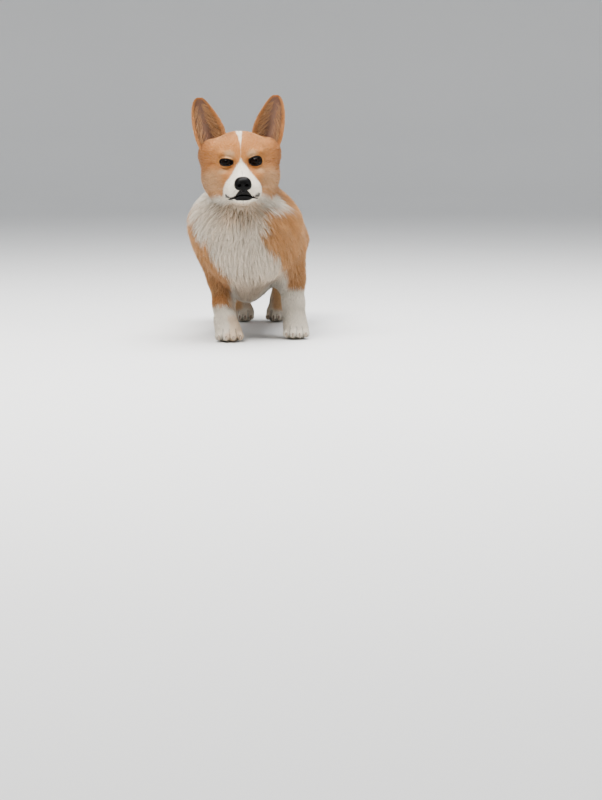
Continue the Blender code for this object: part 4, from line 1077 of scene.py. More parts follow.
def region_of(p):
    """The name of the part of the coat that each root belongs to."""
    x, y, z = p.T
    region = np.full(len(p), "torso", dtype="U16")
    region[ahead_of(NECK_PLANE, p) > 0.0] = "neck"
    region[ahead_of(SKIN_CUT, p) > 0.0] = "head"
    region[(y > 0.226) & (z > 0.195)] = "tail"
    between = np.where(z < 0.05, 0.03, 0.025)
    low_fore = (z < 0.105) & (y < -0.06) & (np.abs(x - between) > 0.036)
    region[low_fore & (x < between)] = "foreleg_right"
    region[low_fore & (x > between)] = "foreleg_left"
    low_hind = (z < 0.120) & (y > 0.15)
    region[low_hind & (x < 0.0)] = "hindleg_right"
    region[low_hind & (x >= 0.0)] = "hindleg_left"
    return region


def scatter_roots(points, faces, count, rng):
    """Roots over the skin: evenly spread, and denser where tufts are short and thin."""
    corners = points[faces]
    area = 0.5 * np.linalg.norm(np.cross(corners[:, 2] - corners[:, 0], corners[:, 3] - corners[:, 1]), axis=1)
    middle = corners.mean(axis=1)
    size = coat_at(middle)[1]
    share = area / (size[:, 0] * size[:, 2]) ** 0.58
    share[middle[:, 2] < 0.0012] = 0.0
    # nothing grows where the two skins overlap, on the nose or behind the lids
    cut = ahead_of(SKIN_CUT, middle)
    from_head_grid = np.arange(len(faces)) < HEAD_FACES["count"]
    share[from_head_grid & (cut < 0.0)] = 0.0
    share[~from_head_grid & (cut >= 0.0)] = 0.0
    q = to_head(middle)
    share[nose_leather_field(q) < 0.0004] = 0.0
    for side in SIDES:
        e = (q - eye_centre(side)) @ eye_axes(side)
        near = (np.linalg.norm(e, axis=1) < EYE_RADIUS + 0.0030) & (lid_opening_field(e, side) < 0.0014)
        share[near & (e[:, 1] < 0.004)] = 0.0
    share *= markings(middle)[:, MARKS.index("dark")] < NO_TUFTS_DARK
    reach = np.cumsum(share)
    spots = (np.arange(count) + rng.random(count)) * (reach[-1] / count)
    picked = np.minimum(np.searchsorted(reach, spots), len(faces) - 1)
    u, v = rng.random((2, count, 1))
    c = corners[picked]
    return (c[:, 0] * (1 - u) + c[:, 1] * u) * (1 - v) + (c[:, 3] * (1 - u) + c[:, 2] * u) * v


def grow_paths(roots, rng, steps):
    """The middle line and the width of each tuft, which lies back along the coat and ends at its depth."""
    coat = bpy.context.scene.corgi_coat
    way, size = coat_at(roots)
    _, normal = skin_height(roots)
    length = size[:, 0] * coat.length_scale * rng.uniform(0.75, 1.2, len(roots))
    depth = size[:, 1] * rng.uniform(0.70, 1.06, len(roots))
    stray = rng.random(len(roots)) < STRAY_SHARE
    depth[stray] *= 1.25
    # the coat parts into locks: tufts of one lock share a small turn to the side
    turn = 0.10 * wander(roots, 0.018, LOCK_SEED) + 0.12 * wander(roots, 0.050, DRIFT_SEED)
    turn = turn + rng.normal(0.0, 0.07, len(roots))
    turn[stray] += rng.normal(0.0, 0.35, stray.sum())
    side = np.cross(normal, way)
    way = way * np.cos(turn)[:, None] + side * np.sin(turn)[:, None]
    path = [roots - normal * 0.0005]
    place = roots
    for step in range(1, steps + 1):
        share = step / steps
        flat = way - normal * (way * normal).sum(axis=1)[:, None]
        flat /= np.maximum(np.linalg.norm(flat, axis=1), 1e-6)[:, None]
        place = place + flat * (length / steps)[:, None]
        height, normal = skin_height(place)
        want = depth * (1.0 - (1.0 - share) ** 1.7)
        place = place + normal * (want - height)[:, None]
        place[:, 2] = np.maximum(place[:, 2], 0.0006)
        path.append(place)
    return np.stack(path, axis=1), size[:, 2]


def gather_locks(path, spacing, rng):
    """Draws the tips together into locks. Gives the new paths, and the number of each tuft's lock."""
    count = len(path)
    middle = path[:, 1]
    chosen = np.sort(rng.choice(count, max(int(count / spacing), 1), replace=False))
    tree = kdtree.KDTree(len(chosen))
    for i, index in enumerate(chosen):
        tree.insert(middle[index], i)
    tree.balance()
    nearest = np.array([tree.find(point)[1] for point in middle])
    offset = path[chosen[nearest]] - path
    reach = np.linalg.norm(offset[:, 1], axis=1)
    span = np.linalg.norm(path[:, -1] - path[:, 0], axis=1)
    strength = LOCK_PULL * np.clip(1.4 - reach / (0.45 * span + 0.001), 0.0, 1.0)
    share = np.linspace(0.0, 1.0, path.shape[1])[None, :, None] ** 1.3
    moved = path + offset * share * strength[:, None, None]
    # tips keep their own length, and their height over the skin
    for step in range(1, path.shape[1]):
        height, normal = skin_height(moved[:, step])
        own = skin_height(path[:, step])[0]
        moved[:, step] += normal * (own - height)[:, None]
    return moved, nearest


def tuft_mesh(path, width):
    """Closed three-sided spikes along the paths: points (n, k, 3) and the faces of one tuft."""
    steps = path.shape[1] - 1
    forward = path[:, 1:] - path[:, :-1]
    forward /= np.maximum(np.linalg.norm(forward, axis=2), 1e-9)[:, :, None]
    points = []
    for step in range(steps):
        _, normal = skin_height(path[:, step])
        across = np.cross(forward[:, step], normal)
        across /= np.maximum(np.linalg.norm(across, axis=1), 1e-9)[:, None]
        up = np.cross(across, forward[:, step])
        share = step / steps
        wide = (width * np.interp(share, (0.0, 0.4, 0.75, 1.0), (0.85, 1.0, 0.7, 0.0)))[:, None]
        points += [path[:, step] - across * 0.5 * wide, path[:, step] + across * 0.5 * wide,
                   path[:, step] + up * 0.42 * wide]
    points.append(path[:, -1])
    faces = [(0, 1, 2)]
    for step in range(steps - 1):
        a = 3 * step
        for i in range(3):
            j = (i + 1) % 3
            faces += [(a + i, a + 3 + i, a + 3 + j), (a + i, a + 3 + j, a + j)]
    a, tip = 3 * (steps - 1), 3 * steps
    faces += [(a + i, tip, a + (i + 1) % 3) for i in range(3)]
    return np.stack(points, axis=1), np.array(faces)


PATCH_WIDTH = 0.003  # of one tuft, as a share of the sheet


def bake_patches(roots, normal, steps):
    """Each tuft's small patch, at its root's place on the skin laid out from its six sides in a 3 by 2 sheet."""
    low, high = roots.min(axis=0), roots.max(axis=0)
    across = (roots - low) / max((high - low).max(), 1e-6)
    axis = np.abs(normal).argmax(axis=1)
    rows = np.arange(len(roots))
    toward = (normal[rows, axis] > 0.0).astype(int)
    u = across[rows, (axis + 1) % 3]
    v = across[rows, (axis + 2) % 3]
    corner = np.stack([(axis + 0.01 + 0.97 * u) / 3.0, (toward + 0.01 + 0.97 * v) / 2.0], axis=1)
    offsets = [(i * PATCH_WIDTH / 2.0, PATCH_WIDTH * step / steps) for step in range(steps) for i in range(3)]
    offsets.append((PATCH_WIDTH / 2.0, PATCH_WIDTH))
    return corner[:, None, :] + np.array(offsets)[None, :, :]


def add_coat_piece(name, path, width, marks, tone, roots, normal):
    """One piece of the coat: a tuft along each path, with its marks, its tone and its place for baking."""
    points, faces = tuft_mesh(path, width)
    count, size = points.shape[:2]
    steps = path.shape[1] - 1
    every = (faces[None, :, :] + (np.arange(count) * size)[:, None, None]).reshape(-1, 3)
    piece = add_piece(name, points.reshape(-1, 3), every, fur_material())
    put_marks(piece, np.repeat(marks, size, axis=0))
    put_numbers(piece, "tone", np.repeat(tone, size))
    along = np.concatenate([np.repeat(np.arange(steps) / steps, 3), [1.0]])
    put_numbers(piece, "along", np.tile(along, count))
    layer = piece.data.uv_layers.new(name="OFBake")
    patch = bake_patches(roots, normal, steps).reshape(-1, 2)
    layer.data.foreach_set("uv", patch[every.ravel()].astype(np.float32).ravel())


WHISKER_WIDTH = 0.00015


def add_whiskers(rng):
    """Fine pale whiskers in two rows of four on both sides of the muzzle."""
    starts, ways, spans = [], [], []
    for side in SIDES.values():
        for row in range(2):
            for place in range(4):
                starts.append((side * (0.0255 + 0.0018 * place), -0.050 + 0.0075 * place, -0.0465 - 0.0042 * row))
                ways.append((side * 0.85, 0.10 + 0.22 * place, 0.10 - 0.22 * row))
                spans.append(0.014 + 0.004 * place)
    starts, ways = np.array(starts), np.array(ways) + rng.normal(0.0, 0.06, (len(starts), 3))
    ways /= np.linalg.norm(ways, axis=1)[:, None]
    spans = np.array(spans)[:, None] * rng.uniform(0.85, 1.15, (len(starts), 1))
    starts = from_head(starts)
    # three steps bring each root down onto the skin
    for _ in range(3):
        height, normal = skin_height(starts)
        starts = starts - normal * height[:, None]
    ways = ways @ HEAD_AXES.T
    droop = np.array([0.0, 0.0, -0.16])
    path = [starts + (ways * share + droop * share**2) * spans for share in np.linspace(-0.04, 1.0, 6)]
    count = len(starts)
    marks = np.tile((0.5, 0.3, 0.0, 0.0), (count, 1))
    add_coat_piece("coat_whiskers", np.stack(path, axis=1), np.full(count, WHISKER_WIDTH), marks,
                   np.zeros(count), starts, normal)


def add_coat(points, faces):
    """Every tuft of the coat, in pieces by region."""
    coat = bpy.context.scene.corgi_coat
    rng = np.random.default_rng(7)
    roots = scatter_roots(points, faces, coat.tufts // (1), rng)
    length = coat_at(roots)[1][:, 0]
    region = region_of(roots)
    for name, slot in REGION_SLOTS.items():
        inside = region == name
        count = inside.sum()
        if count < FEWEST_TUFTS:
            continue
        steps = 3 if name == "neck" else 2
        place = roots[inside]
        path, width = grow_paths(place, rng, steps)
        path, lock = gather_locks(path, 6.0 if "leg" in name else 9.0, rng)
        normal = skin_height(place)[1]
        look = place + rng.normal(0.0, 1.0, place.shape) * (0.05 * length[inside])[:, None]
        marks = markings(look)
        tone = rng.normal(0.0, 0.32, count) + 0.34 * rng.normal(0.0, 1.0, count)[lock]
        tone += 0.35 * wander(place, 0.030, TONE_SEED)
        # a tuft of so many steps has 6 * steps - 2 triangles
        parts = math.ceil(count / (LARGEST_PIECE // (6 * steps - 2)))
        order = np.argsort(place[:, np.ptp(place, axis=0).argmax()], kind="stable")
        for part, chosen in enumerate(np.array_split(order, parts), 1):
            label = f"coat_{name}" + (f"_{part}" if parts > 1 else "")
            add_coat_piece(label, path[chosen], width[chosen], marks[chosen], tone[chosen], place[chosen],
                           normal[chosen])
    add_whiskers(rng)


# The ears


def ear_points(side, along, across, depth):
    """Points of an ear: along it from 0 to 1, across it from -1 to 1, and depth 1 in front and -1 at the back."""
    knots = np.linspace(0.0, 1.0, len(EAR_RIBS))
    middle = np.stack([np.interp(along, knots, [rib[0][i] for rib in EAR_RIBS]) for i in range(3)], axis=-1)
    half, roll, thick, drop = (np.interp(along, knots, [rib[i] for rib in EAR_RIBS]) for i in (1, 2, 3, 4))
    roll = np.radians(roll)
    angle = roll * across
    round_off = np.sqrt(np.maximum(1.0 - np.abs(across) ** 5, 0.0))
    radius = half / np.sin(np.minimum(roll, math.pi / 2.0)) + 0.5 * thick * (-depth) * round_off
    out = np.stack([radius * np.sin(angle), radius * (np.cos(angle) - 0.5), np.zeros_like(angle)], axis=-1)
    out = out @ turn_about("Z", -EAR_TWIST).T
    out[..., 2] = -drop * out[..., 0]
    point = middle + out
    point[..., 0] *= SIDES[side]
    return from_head(point.reshape(-1, 3)).reshape(point.shape)


EAR_INSET = 0.62  # how far out of the blade's middle the skin lies, under its fur
EAR_STEPS_ALONG, EAR_STEPS_ACROSS = 96, 72
EAR_LENGTH = 0.105
# Fur of the ears: how many tufts, their length, lift and width, then their deep ginger and pale marks
EAR_FUR = {
    "back": (4200, 0.0062, 0.0006, 0.00060, 0.55, 0.0),
    "rim": (2600, 0.0060, 0.0011, 0.00052, 0.75, 0.1),
    "inner": (700, 0.0120, 0.0018, 0.00045, 0.4, 0.45),
    "hollow": (500, 0.0050, 0.0005, 0.00030, 0.9, 0.0),
}


def ear_marks(along, across, depth):
    """Shares of bare inner skin, and of its fold mark over an ear: painted shade deep in the hollow of the cup,
    and darker skin towards its border.
    """
    edge = np.abs(across)
    inner = (depth > 0.0) * smooth(0.86, 0.60, edge + 0.25 * smooth(0.6, 1.0, along)) * smooth(0.97, 0.80, along)
    # painted shade deep in the hollow of the cup, near its root
    hollow = np.exp(-(((across + 0.18) / 0.20) ** 2)) * smooth(0.58, 0.12, along)
    return inner, np.maximum(hollow, 0.55 * smooth(0.30, 0.85, edge)) * (depth > 0.0)


def ear_material():
    """The ear's skin: bare and brown inside, with painted shade in its fold, and short fur on the rim and the
    back.
    """
    if "Ear" in bpy.data.materials:
        return bpy.data.materials["Ear"]
    head = bpy.context.scene.corgi_head
    constants = {"Subsurface_Weight": 0.12, "Subsurface_Scale": 0.004, "Specular_IOR_Level": 0.3}
    material, tree, shader = new_material("Ear", 0.6, **constants)
    grain = place_group(tree, fine_grain_group(), Size=1100.0, Stretch=(1.0, 1.0, 0.35))
    tone = maths(tree, "MULTIPLY_ADD", grain.outputs["Height"], 2.0, -1.0)
    # painted shade of the tufts, as at 0.7 of their length
    fur = place_group(tree, coat_colour_group(), Tone=tone, Along=0.7, **mark_inputs(tree))
    # the fold mark mixes in painted shade deep in the cup, and the darker border
    inner = mix_colour(tree, numbers(tree, "fold"), head.ear_skin, head.ear_fold)
    veins = place_group(tree, fine_grain_group(), Size=160.0, Stretch=(1.0, 1.0, 0.5))
    inner = mix_colour(tree, maths(tree, "MULTIPLY", veins.outputs["Height"], 0.35), inner, head.ear_fold)
    colour = mix_colour(tree, numbers(tree, "inner"), fur.outputs["Color"], inner)
    tree.links.new(colour, shader.inputs["Base Color"])
    add_bump(tree, shader, grain.outputs["Height"], 0.35, 0.0005)
    return material


def make_ear(side, rng):
    """One ear: a cupped blade with a rounded rim, a fold at its outer root, and fur over its back and edges."""
    t = np.linspace(0.0, 1.0, EAR_STEPS_ALONG + 1)
    turn = np.linspace(0.0, 2.0, 2 * EAR_STEPS_ACROSS, endpoint=False)
    across = np.where(turn < 1.0, -1.0 + 2.0 * turn, 3.0 - 2.0 * turn)
    depth = np.where(turn < 1.0, 1.0, -1.0)
    grid_t, grid_across = np.meshgrid(t, across, indexing="ij")
    grid_depth = np.broadcast_to(depth, grid_t.shape)
    points = ear_points(side, grid_t, grid_across, grid_depth * EAR_INSET)
    count = len(turn)
    row, column = np.meshgrid(np.arange(EAR_STEPS_ALONG), np.arange(count), indexing="ij")
    after = (column + 1) % count
    faces = np.stack([row * count + column, (row + 1) * count + column, (row + 1) * count + after,
                      row * count + after], axis=-1).reshape(-1, 4)
    if SIDES[side] > 0.0:
        faces = faces[:, ::-1]
    flat = points.reshape(-1, 3)
    tip = len(flat)
    flat = np.concatenate([flat, points[-1].mean(axis=0)[None, :], points[0].mean(axis=0)[None, :]])
    piece = add_piece("ear_skin_" + side, flat, faces, ear_material())
    # the tip and the root are closed with a fan each
    build = bmesh.new()
    build.from_mesh(piece.data)
    build.verts.ensure_lookup_table()
    for ring, centre in ((EAR_STEPS_ALONG, tip), (0, tip + 1)):
        for j in range(count):
            corners = (ring * count + j, ring * count + (j + 1) % count, centre)
            build.faces.new([build.verts[corner] for corner in corners])
    bmesh.ops.recalc_face_normals(build, faces=build.faces)
    fill_mesh(piece.data, build)
    inner, fold = ear_marks(grid_t.ravel(), grid_across.ravel(), grid_depth.ravel())
    ends = np.array([0.0, 0.0])
    marks = np.zeros((len(flat), 4))
    marks[:, 3] = 0.5
    marks[:-2, 1] = 0.4 * smooth(0.86, 0.98, np.abs(grid_across.ravel()))
    put_marks(piece, marks)
    put_numbers(piece, "inner", np.concatenate([inner, ends]))
    put_numbers(piece, "fold", np.concatenate([fold, ends]))
    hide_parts("ear_" + side)
    add_ear_fur(side, rng)


def ear_fur_places(kind, count, rng):
    """Where the tufts of one kind root on the ear: along, across and depth, and how far they lean across."""
    t = rng.random(count)
    if kind == "back":
        t, across, depth = t**0.8 * 0.955, rng.uniform(-0.98, 0.98, count), -1.0
        lean = across * 0.25
    elif kind == "rim":
        t, depth = t**0.9 * 0.955, 0.9
        across = rng.choice((-1.0, 1.0), count) * rng.uniform(0.70, 1.0, count)
        lean = 0.12 * np.sign(across)
    elif kind == "inner":
        t, depth = t**1.2 * 0.62, 1.0
        across = np.where(rng.random(count) < 0.75, -1.0, 1.0) * rng.uniform(0.45, 0.90, count)
        lean = -np.sign(across) * 0.32
    else:
        t, across, depth = t * 0.9, rng.uniform(-0.7, 0.7, count), 1.0
        lean = rng.normal(0.0, 0.15, count)
    return t, across, np.full(count, depth), lean


def add_ear_fur(side, rng):
    """Short fur up the back of the ear and round its rim, longer pale hair over its inner edge, and fine fuzz."""
    rise = HEAD_AXES @ np.array([0.05 * SIDES[side], 0.0, 1.0])
    paths, widths, marks, tones = [], [], [], []
    for kind, (count, length, lift, width, deep, pale) in EAR_FUR.items():
        count //= 1
        t, across, depth, lean = ear_fur_places(kind, count, rng)
        surface = depth * EAR_INSET
        span = length * rng.uniform(0.75, 1.2, count)
        path = []
        for share in (0.0, 0.5, 1.0):
            along = t + span * share / EAR_LENGTH
            up = np.minimum(along, 1.0)
            over = np.clip(across + lean * share * (length / 0.010), -1.0, 1.0)
            place = ear_points(side, up, over, surface)
            way = ear_points(side, up, over, surface * 1.5) - place
            way /= np.maximum(np.linalg.norm(way, axis=1), 1e-9)[:, None]
            past = np.maximum(along - 1.0, 0.0) * 0.035
            height = lift * (1.0 - (1.0 - share) ** 1.6) - 0.0003 * (share == 0.0)
            path.append(place + way * height + rise[None, :] * past[:, None])
        paths.append(np.stack(path, axis=1))
        widths.append(np.full(count, width) * rng.uniform(0.8, 1.2, count))
        mark = np.zeros((count, 4))
        mark[:, MARKS.index("deep")] = deep
        mark[:, MARKS.index("pale")] = pale * rng.uniform(0.5, 1.0, count)
        marks.append(mark)
        tones.append(rng.normal(0.0, 0.5, count))
    path = np.concatenate(paths)
    normal = np.tile(HEAD_AXES @ np.array([0.0, 1.0, 0.0]), (len(path), 1))
    add_coat_piece("coat_ear_" + side, path, np.concatenate(widths),
                   np.concatenate(marks), np.concatenate(tones), path[:, 0], normal)


# Eyes, nose and claws


# Angles from the middle of the gaze: the pupil's edge, the dark ring, where the white begins, the cornea
PUPIL = math.radians(15.0)
RING = math.radians(33.0), math.radians(42.0)
WHITE_OF_EYE = math.radians(47.0), math.radians(56.0)
CORNEA_RISE, CORNEA = 0.00045, math.radians(40.0)


def eye_material():
    """The eye: a dark brown iris round a black pupil, a dark ring, and a wet clear coat."""
    if "Eye" in bpy.data.materials:
        return bpy.data.materials["Eye"]
    head = bpy.context.scene.corgi_head
    constants = {"Coat_Weight": 0.14, "Coat_Roughness": 0.02, "Specular_IOR_Level": 0.05}
    material, tree, shader = new_material("Eye", 0.25, **constants)
    angle = numbers(tree, "angle")
    streak = tree.nodes.new("ShaderNodeTexNoise")
    streak.noise_dimensions = "1D"
    streak.inputs["Scale"].default_value = 9.0
    streak.inputs["Detail"].default_value = 4.0
    tree.links.new(numbers(tree, "around"), streak.inputs["W"])
    iris = mix_colour(tree, streak.outputs["Fac"], head.iris, tuple(0.45 * c for c in head.iris))
    colour = mix_colour(tree, fade(tree, angle, *RING), iris, (0.004, 0.003, 0.0025))
    colour = mix_colour(tree, fade(tree, angle, *WHITE_OF_EYE), colour, (0.014, 0.008, 0.006))
    colour = mix_colour(tree, maths(tree, "LESS_THAN", angle, PUPIL), colour, (0.002, 0.002, 0.002))
    tree.links.new(colour, shader.inputs["Base Color"])
    return material


def make_eye(side):
    """One eyeball with a slight cornea, turned to look ahead."""
    radius = bpy.context.scene.corgi_head.eye_radius
    build = bmesh.new()
    bmesh.ops.create_uvsphere(build, u_segments=72, v_segments=48, radius=radius)
    points = np.array([tuple(vert.co) for vert in build.verts])
    gaze = HEAD_AXES @ eye_axes(side) @ np.array([-0.10 * SIDES[side], -1.0, 0.02])
    gaze /= np.linalg.norm(gaze)
    turn = np.array(Vector((0, 0, 1)).rotation_difference(Vector(gaze)).to_matrix())
    angle = np.arccos(np.clip(points[:, 2] / radius, -1.0, 1.0))
    around = np.arctan2(points[:, 1], points[:, 0])
    bulge = CORNEA_RISE * smooth(CORNEA, 0.0, angle)
    points = points * (1.0 + bulge / radius)[:, None]
    centre = from_head(eye_centre(side))
    for vert, place in zip(build.verts, points @ turn.T + centre + design_shift()):
        vert.co = place
    mesh = fill_mesh(bpy.data.meshes.new("eyeball_" + side), build)
    piece = finish_piece("eyeball_" + side, mesh, eye_material())
    put_numbers(piece, "angle", angle)
    put_numbers(piece, "around", around)
    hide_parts("eye_" + side)


def nose_material():
    """Black nose leather: fine pebbles, slightly wet."""
    head = bpy.context.scene.corgi_head
    constants = {"Coat_Weight": 0.08, "Coat_Roughness": 0.28, "Specular_IOR_Level": 0.12}
    material, tree, shader = new_material("Nose", 0.45, **constants)
    cells = texture(tree, "Voronoi", Scale=900.0)
    cells.feature = "SMOOTH_F1"
    noise = texture(tree, "Noise", Scale=220.0)
    colour = mix_colour(tree, noise.outputs["Fac"], head.nose, tuple(1.9 * c for c in head.nose))
    tree.links.new(colour, shader.inputs["Base Color"])
    add_bump(tree, shader, cells.outputs["Distance"], 0.45, 0.0004)
    return material


NOSE_CENTRE, NOSE_REACH = (0.0, -0.061, -0.042), 0.026


def make_nose():
    """The nose leather, meshed finely in a box of its own."""
    centre = from_head(NOSE_CENTRE)
    cell = NOSE_CELL
    grid = grid_of_field(lambda p: nose_field(to_head(p)), centre - NOSE_REACH, centre + NOSE_REACH, cell)
    points, faces = surface_of_grid(grid)
    nose = add_piece("nose_leather", points, faces, nose_material())
    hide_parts("nose")


def claw_material():
    """Horn: pale grey-brown, darker to the root."""
    if "Claw" in bpy.data.materials:
        return bpy.data.materials["Claw"]
    material, tree, shader = new_material("Claw", 0.38, Coat_Weight=0.2, Coat_Roughness=0.2)
    grain = place_group(tree, fine_grain_group(), Size=700.0, Stretch=(1.0, 0.2, 1.0))
    claw = bpy.context.scene.corgi_coat.claw
    colour = mix_colour(tree, grain.outputs["Height"], claw, tuple(0.6 * c for c in claw))
    colour = mix_colour(tree, numbers(tree, "tip"), tuple(0.55 * c for c in claw), colour)
    tree.links.new(colour, shader.inputs["Base Color"])
    add_bump(tree, shader, grain.outputs["Height"], 0.2, 0.0003)
    return material


CLAW_RINGS, CLAW_SIDES = 9, 14
# Shares of a claw's length, and its radius there
CLAW_TAPER = ((0.0, 0.35, 0.7, 0.92, 1.0), (0.0026, 0.0024, 0.0017, 0.0009, 0.0003))


def claw_points(sole, width, toe):
    """The rings of one curved claw, root to tip."""
    x, y, turn = sole
    across, ahead, _ = toe
    axes = turn_about("Z", turn)
    root = np.array([across * width, (ahead - 0.16) * width, 0.0125])
    rings = []
    for share in np.linspace(0.0, 1.0, CLAW_RINGS):
        radius = np.interp(share, *CLAW_TAPER)
        centre = root + np.array([0.0, -(0.004 + CLAW_LENGTH) * share, -0.0074 * share**1.6])
        angle = np.linspace(0.0, 2.0 * math.pi, CLAW_SIDES, endpoint=False)
        rise = radius * np.sin(angle)
        lean = 0.9 * share
        ring = [radius * 0.8 * np.cos(angle), -rise * math.sin(lean) * 0.7, rise * math.cos(lean)]
        rings.append((np.stack(ring, axis=1) + centre) @ axes.T + np.array([x, y, 0.0]))
    return np.array(rings)


def make_claws():
    """Four curved claws on each paw, laid over those of the solids."""
    for name, (sole, width) in PAWS.items():
        build = bmesh.new()
        tips = []
        for toe in TOES:
            rings = claw_points(sole, width, toe) + design_shift()
            loops = [[build.verts.new(tuple(point)) for point in ring] for ring in rings]
            tips += [i / (CLAW_RINGS - 1) for i in range(CLAW_RINGS) for _ in range(CLAW_SIDES)]
            for low, high in zip(loops, loops[1:]):
                for j in range(CLAW_SIDES):
                    k = (j + 1) % CLAW_SIDES
                    build.faces.new((low[j], low[k], high[k], high[j]))
            build.faces.new(loops[0][::-1])
            build.faces.new(loops[-1])
        bmesh.ops.recalc_face_normals(build, faces=build.faces)
        mesh = fill_mesh(bpy.data.meshes.new("claws_" + name), build)
        piece = finish_piece("claws_" + name, mesh, claw_material())
        put_numbers(piece, "tip", tips)


# The stage


# The floor's outline from its middle out, as distances and heights: it curves up far behind
FLOOR_PROFILE = (
    (1.0, 0.0), (3.0, 0.0), (5.5, 0.0), (6.2, 0.07), (6.9, 0.35), (7.4, 0.95), (7.7, 1.9), (7.8, 3.6),
)
FLOOR_SIDES = 96


def make_floor():
    """A pale round floor that curves up far behind, all round the dog."""
    build = bmesh.new()
    middle = build.verts.new((0.0, 0.0, 0.0))
    turns = [2 * math.pi * i / FLOOR_SIDES for i in range(FLOOR_SIDES)]
    rings = [[build.verts.new((radius * math.cos(turn), radius * math.sin(turn), height)) for turn in turns]
             for radius, height in FLOOR_PROFILE]
    for i in range(FLOOR_SIDES):
        j = (i + 1) % FLOOR_SIDES
        build.faces.new((middle, rings[0][i], rings[0][j]))
    for low, high in zip(rings, rings[1:]):
        for i in range(FLOOR_SIDES):
            j = (i + 1) % FLOOR_SIDES
            build.faces.new((low[i], high[i], high[j], low[j]))
    mesh = fill_mesh(bpy.data.meshes.new("floor"), build)
    floor = bpy.data.objects.new("floor", mesh)
    bpy.context.scene.collection.objects.link(floor)
    pale = bpy.context.scene.corgi_stage.floor
    material, tree, shader = new_material("Floor", 0.85)
    noise = texture(tree, "Noise", Scale=1.5)
    colour = mix_colour(tree, noise.outputs["Fac"], pale, tuple(0.96 * c for c in pale))
    tree.links.new(colour, shader.inputs["Base Color"])
    mesh.materials.append(material)


def add_light(name, place, target, size, power, colour):
    """A round soft light that faces its target."""
    light = bpy.data.lights.new(name, "AREA")
    light.shape = "DISK"
    light.size = size
    light.energy = power
    light.color = colour
    lamp = bpy.data.objects.new(name, light)
    lamp.location = place
    lamp.rotation_euler = (Vector(target) - Vector(place)).to_track_quat("-Z", "Y").to_euler()
    bpy.context.scene.collection.objects.link(lamp)


# The photograph's size and the focal length in pixels, and the height of the sensor in millimetres
PHOTO_WIDTH, PHOTO_HEIGHT = 602, 800
FOCAL_PIXELS = 2000.0
SENSOR_HEIGHT = 36.0
# The point between the forefeet, and the pixel of the photograph where it shows, across and down
FOREFEET, FOREFEET_PIXEL = (0.037, -0.153, 0.0), (263, 340)


def make_camera():
    """The camera where the photograph was taken from: a little above the dog and a little to its left."""
    stage = bpy.context.scene.corgi_stage
    turn, rise = stage.camera_turn, stage.camera_rise
    foot = Vector(np.array(FOREFEET) + design_shift())
    foot.z = 0.0
    back = Vector((math.sin(turn) * math.cos(rise), -math.cos(turn) * math.cos(rise), math.sin(rise)))
    right = Vector((math.cos(turn), math.sin(turn), 0.0))
    up = right.cross(-back)
    across = (FOREFEET_PIXEL[0] - PHOTO_WIDTH / 2) / FOCAL_PIXELS
    above = (PHOTO_HEIGHT / 2 - FOREFEET_PIXEL[1]) / FOCAL_PIXELS
    lens = bpy.data.cameras.new("camera")
    lens.sensor_fit = "VERTICAL"
    lens.sensor_height = SENSOR_HEIGHT
    lens.lens = FOCAL_PIXELS * SENSOR_HEIGHT / PHOTO_HEIGHT
    lens.clip_end = 100.0
    camera = bpy.data.objects.new("camera", lens)
    camera.location = foot + back * stage.camera_distance
    camera.rotation_euler = (-back - right * across - up * above).to_track_quat("-Z", "Y").to_euler()
    bpy.context.scene.collection.objects.link(camera)
    bpy.context.scene.camera = camera


# Each light's place, the point it faces, its size, its power in watts and its colour
LIGHTS = {
    "key_light": ((-0.8, -1.6, 2.7), (0.0, -0.1, 0.2), 1.4, 92.0, (1.0, 0.97, 0.93)),
    "top_light": ((0.3, -0.1, 2.8), (0.0, 0.0, 0.2), 2.4, 132.0, (0.99, 0.99, 1.0)),
    "fill_light": ((2.4, -1.4, 1.2), (0.0, 0.0, 0.2), 1.8, 14.0, (0.95, 0.98, 1.0)),
}
SKY_COLOUR, SKY_STRENGTH = (0.92, 0.95, 1.0, 1.0), 0.47


def make_stage():
    """The floor, the camera, the lights, the even light of the room and the contrast of the picture."""
    make_floor()
    make_camera()
    for name, (place, target, size, power, colour) in LIGHTS.items():
        add_light(name, place, target, size, power * bpy.context.scene.corgi_stage.light, colour)
    world = bpy.data.worlds.new("studio")
    world.use_nodes = True
    background = world.node_tree.nodes["Background"]
    background.inputs["Color"].default_value = SKY_COLOUR
    background.inputs["Strength"].default_value = SKY_STRENGTH
    bpy.context.scene.world = world
    bpy.context.scene.view_settings.look = "AgX - Medium High Contrast"


# Settings, operators and panel

EYE_LOW, EYE_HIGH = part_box("eye_left")
SKIN = {}  # the skin's points and faces, which the coat grows from


class CorgiCoat(bpy.types.PropertyGroup):
    """The coat's colours and tufts."""

    ginger: FloatVectorProperty(
        name="Ginger", description="The main coat colour", default=(0.56, 0.270, 0.100), **LINEAR
    )
    deep_ginger: FloatVectorProperty(
        name="Deep ginger", description="The redder coat of the back and crown",
        default=(0.36, 0.145, 0.048), **LINEAR
    )
    cream: FloatVectorProperty(
        name="Cream", description="The pale coat of the cheeks and breeches",
        default=(0.68, 0.475, 0.29), **LINEAR
    )
    white: FloatVectorProperty(
        name="White", description="The white coat of the bib, blaze and socks",
        default=(0.86, 0.79, 0.68), **LINEAR
    )
    # black is also mixed in as painted shade between the toes, on the brisket and over the whites below the head
    black: FloatVectorProperty(
        name="Black", description="The rims of the eyes and the lips", default=(0.007, 0.006, 0.006), **LINEAR
    )
    claw: FloatVectorProperty(
        name="Claw", description="The horn of the claws", default=(0.42, 0.33, 0.25), **LINEAR
    )
    length_scale: FloatProperty(
        name="Tuft length", description="How long the tufts are, as a share of a summer coat",
        default=1.0, min=0.3, max=1.5
    )
    tufts: IntProperty(
        name="Tufts", description="How many tufts the coat has", default=112000, min=1000, max=150000
    )


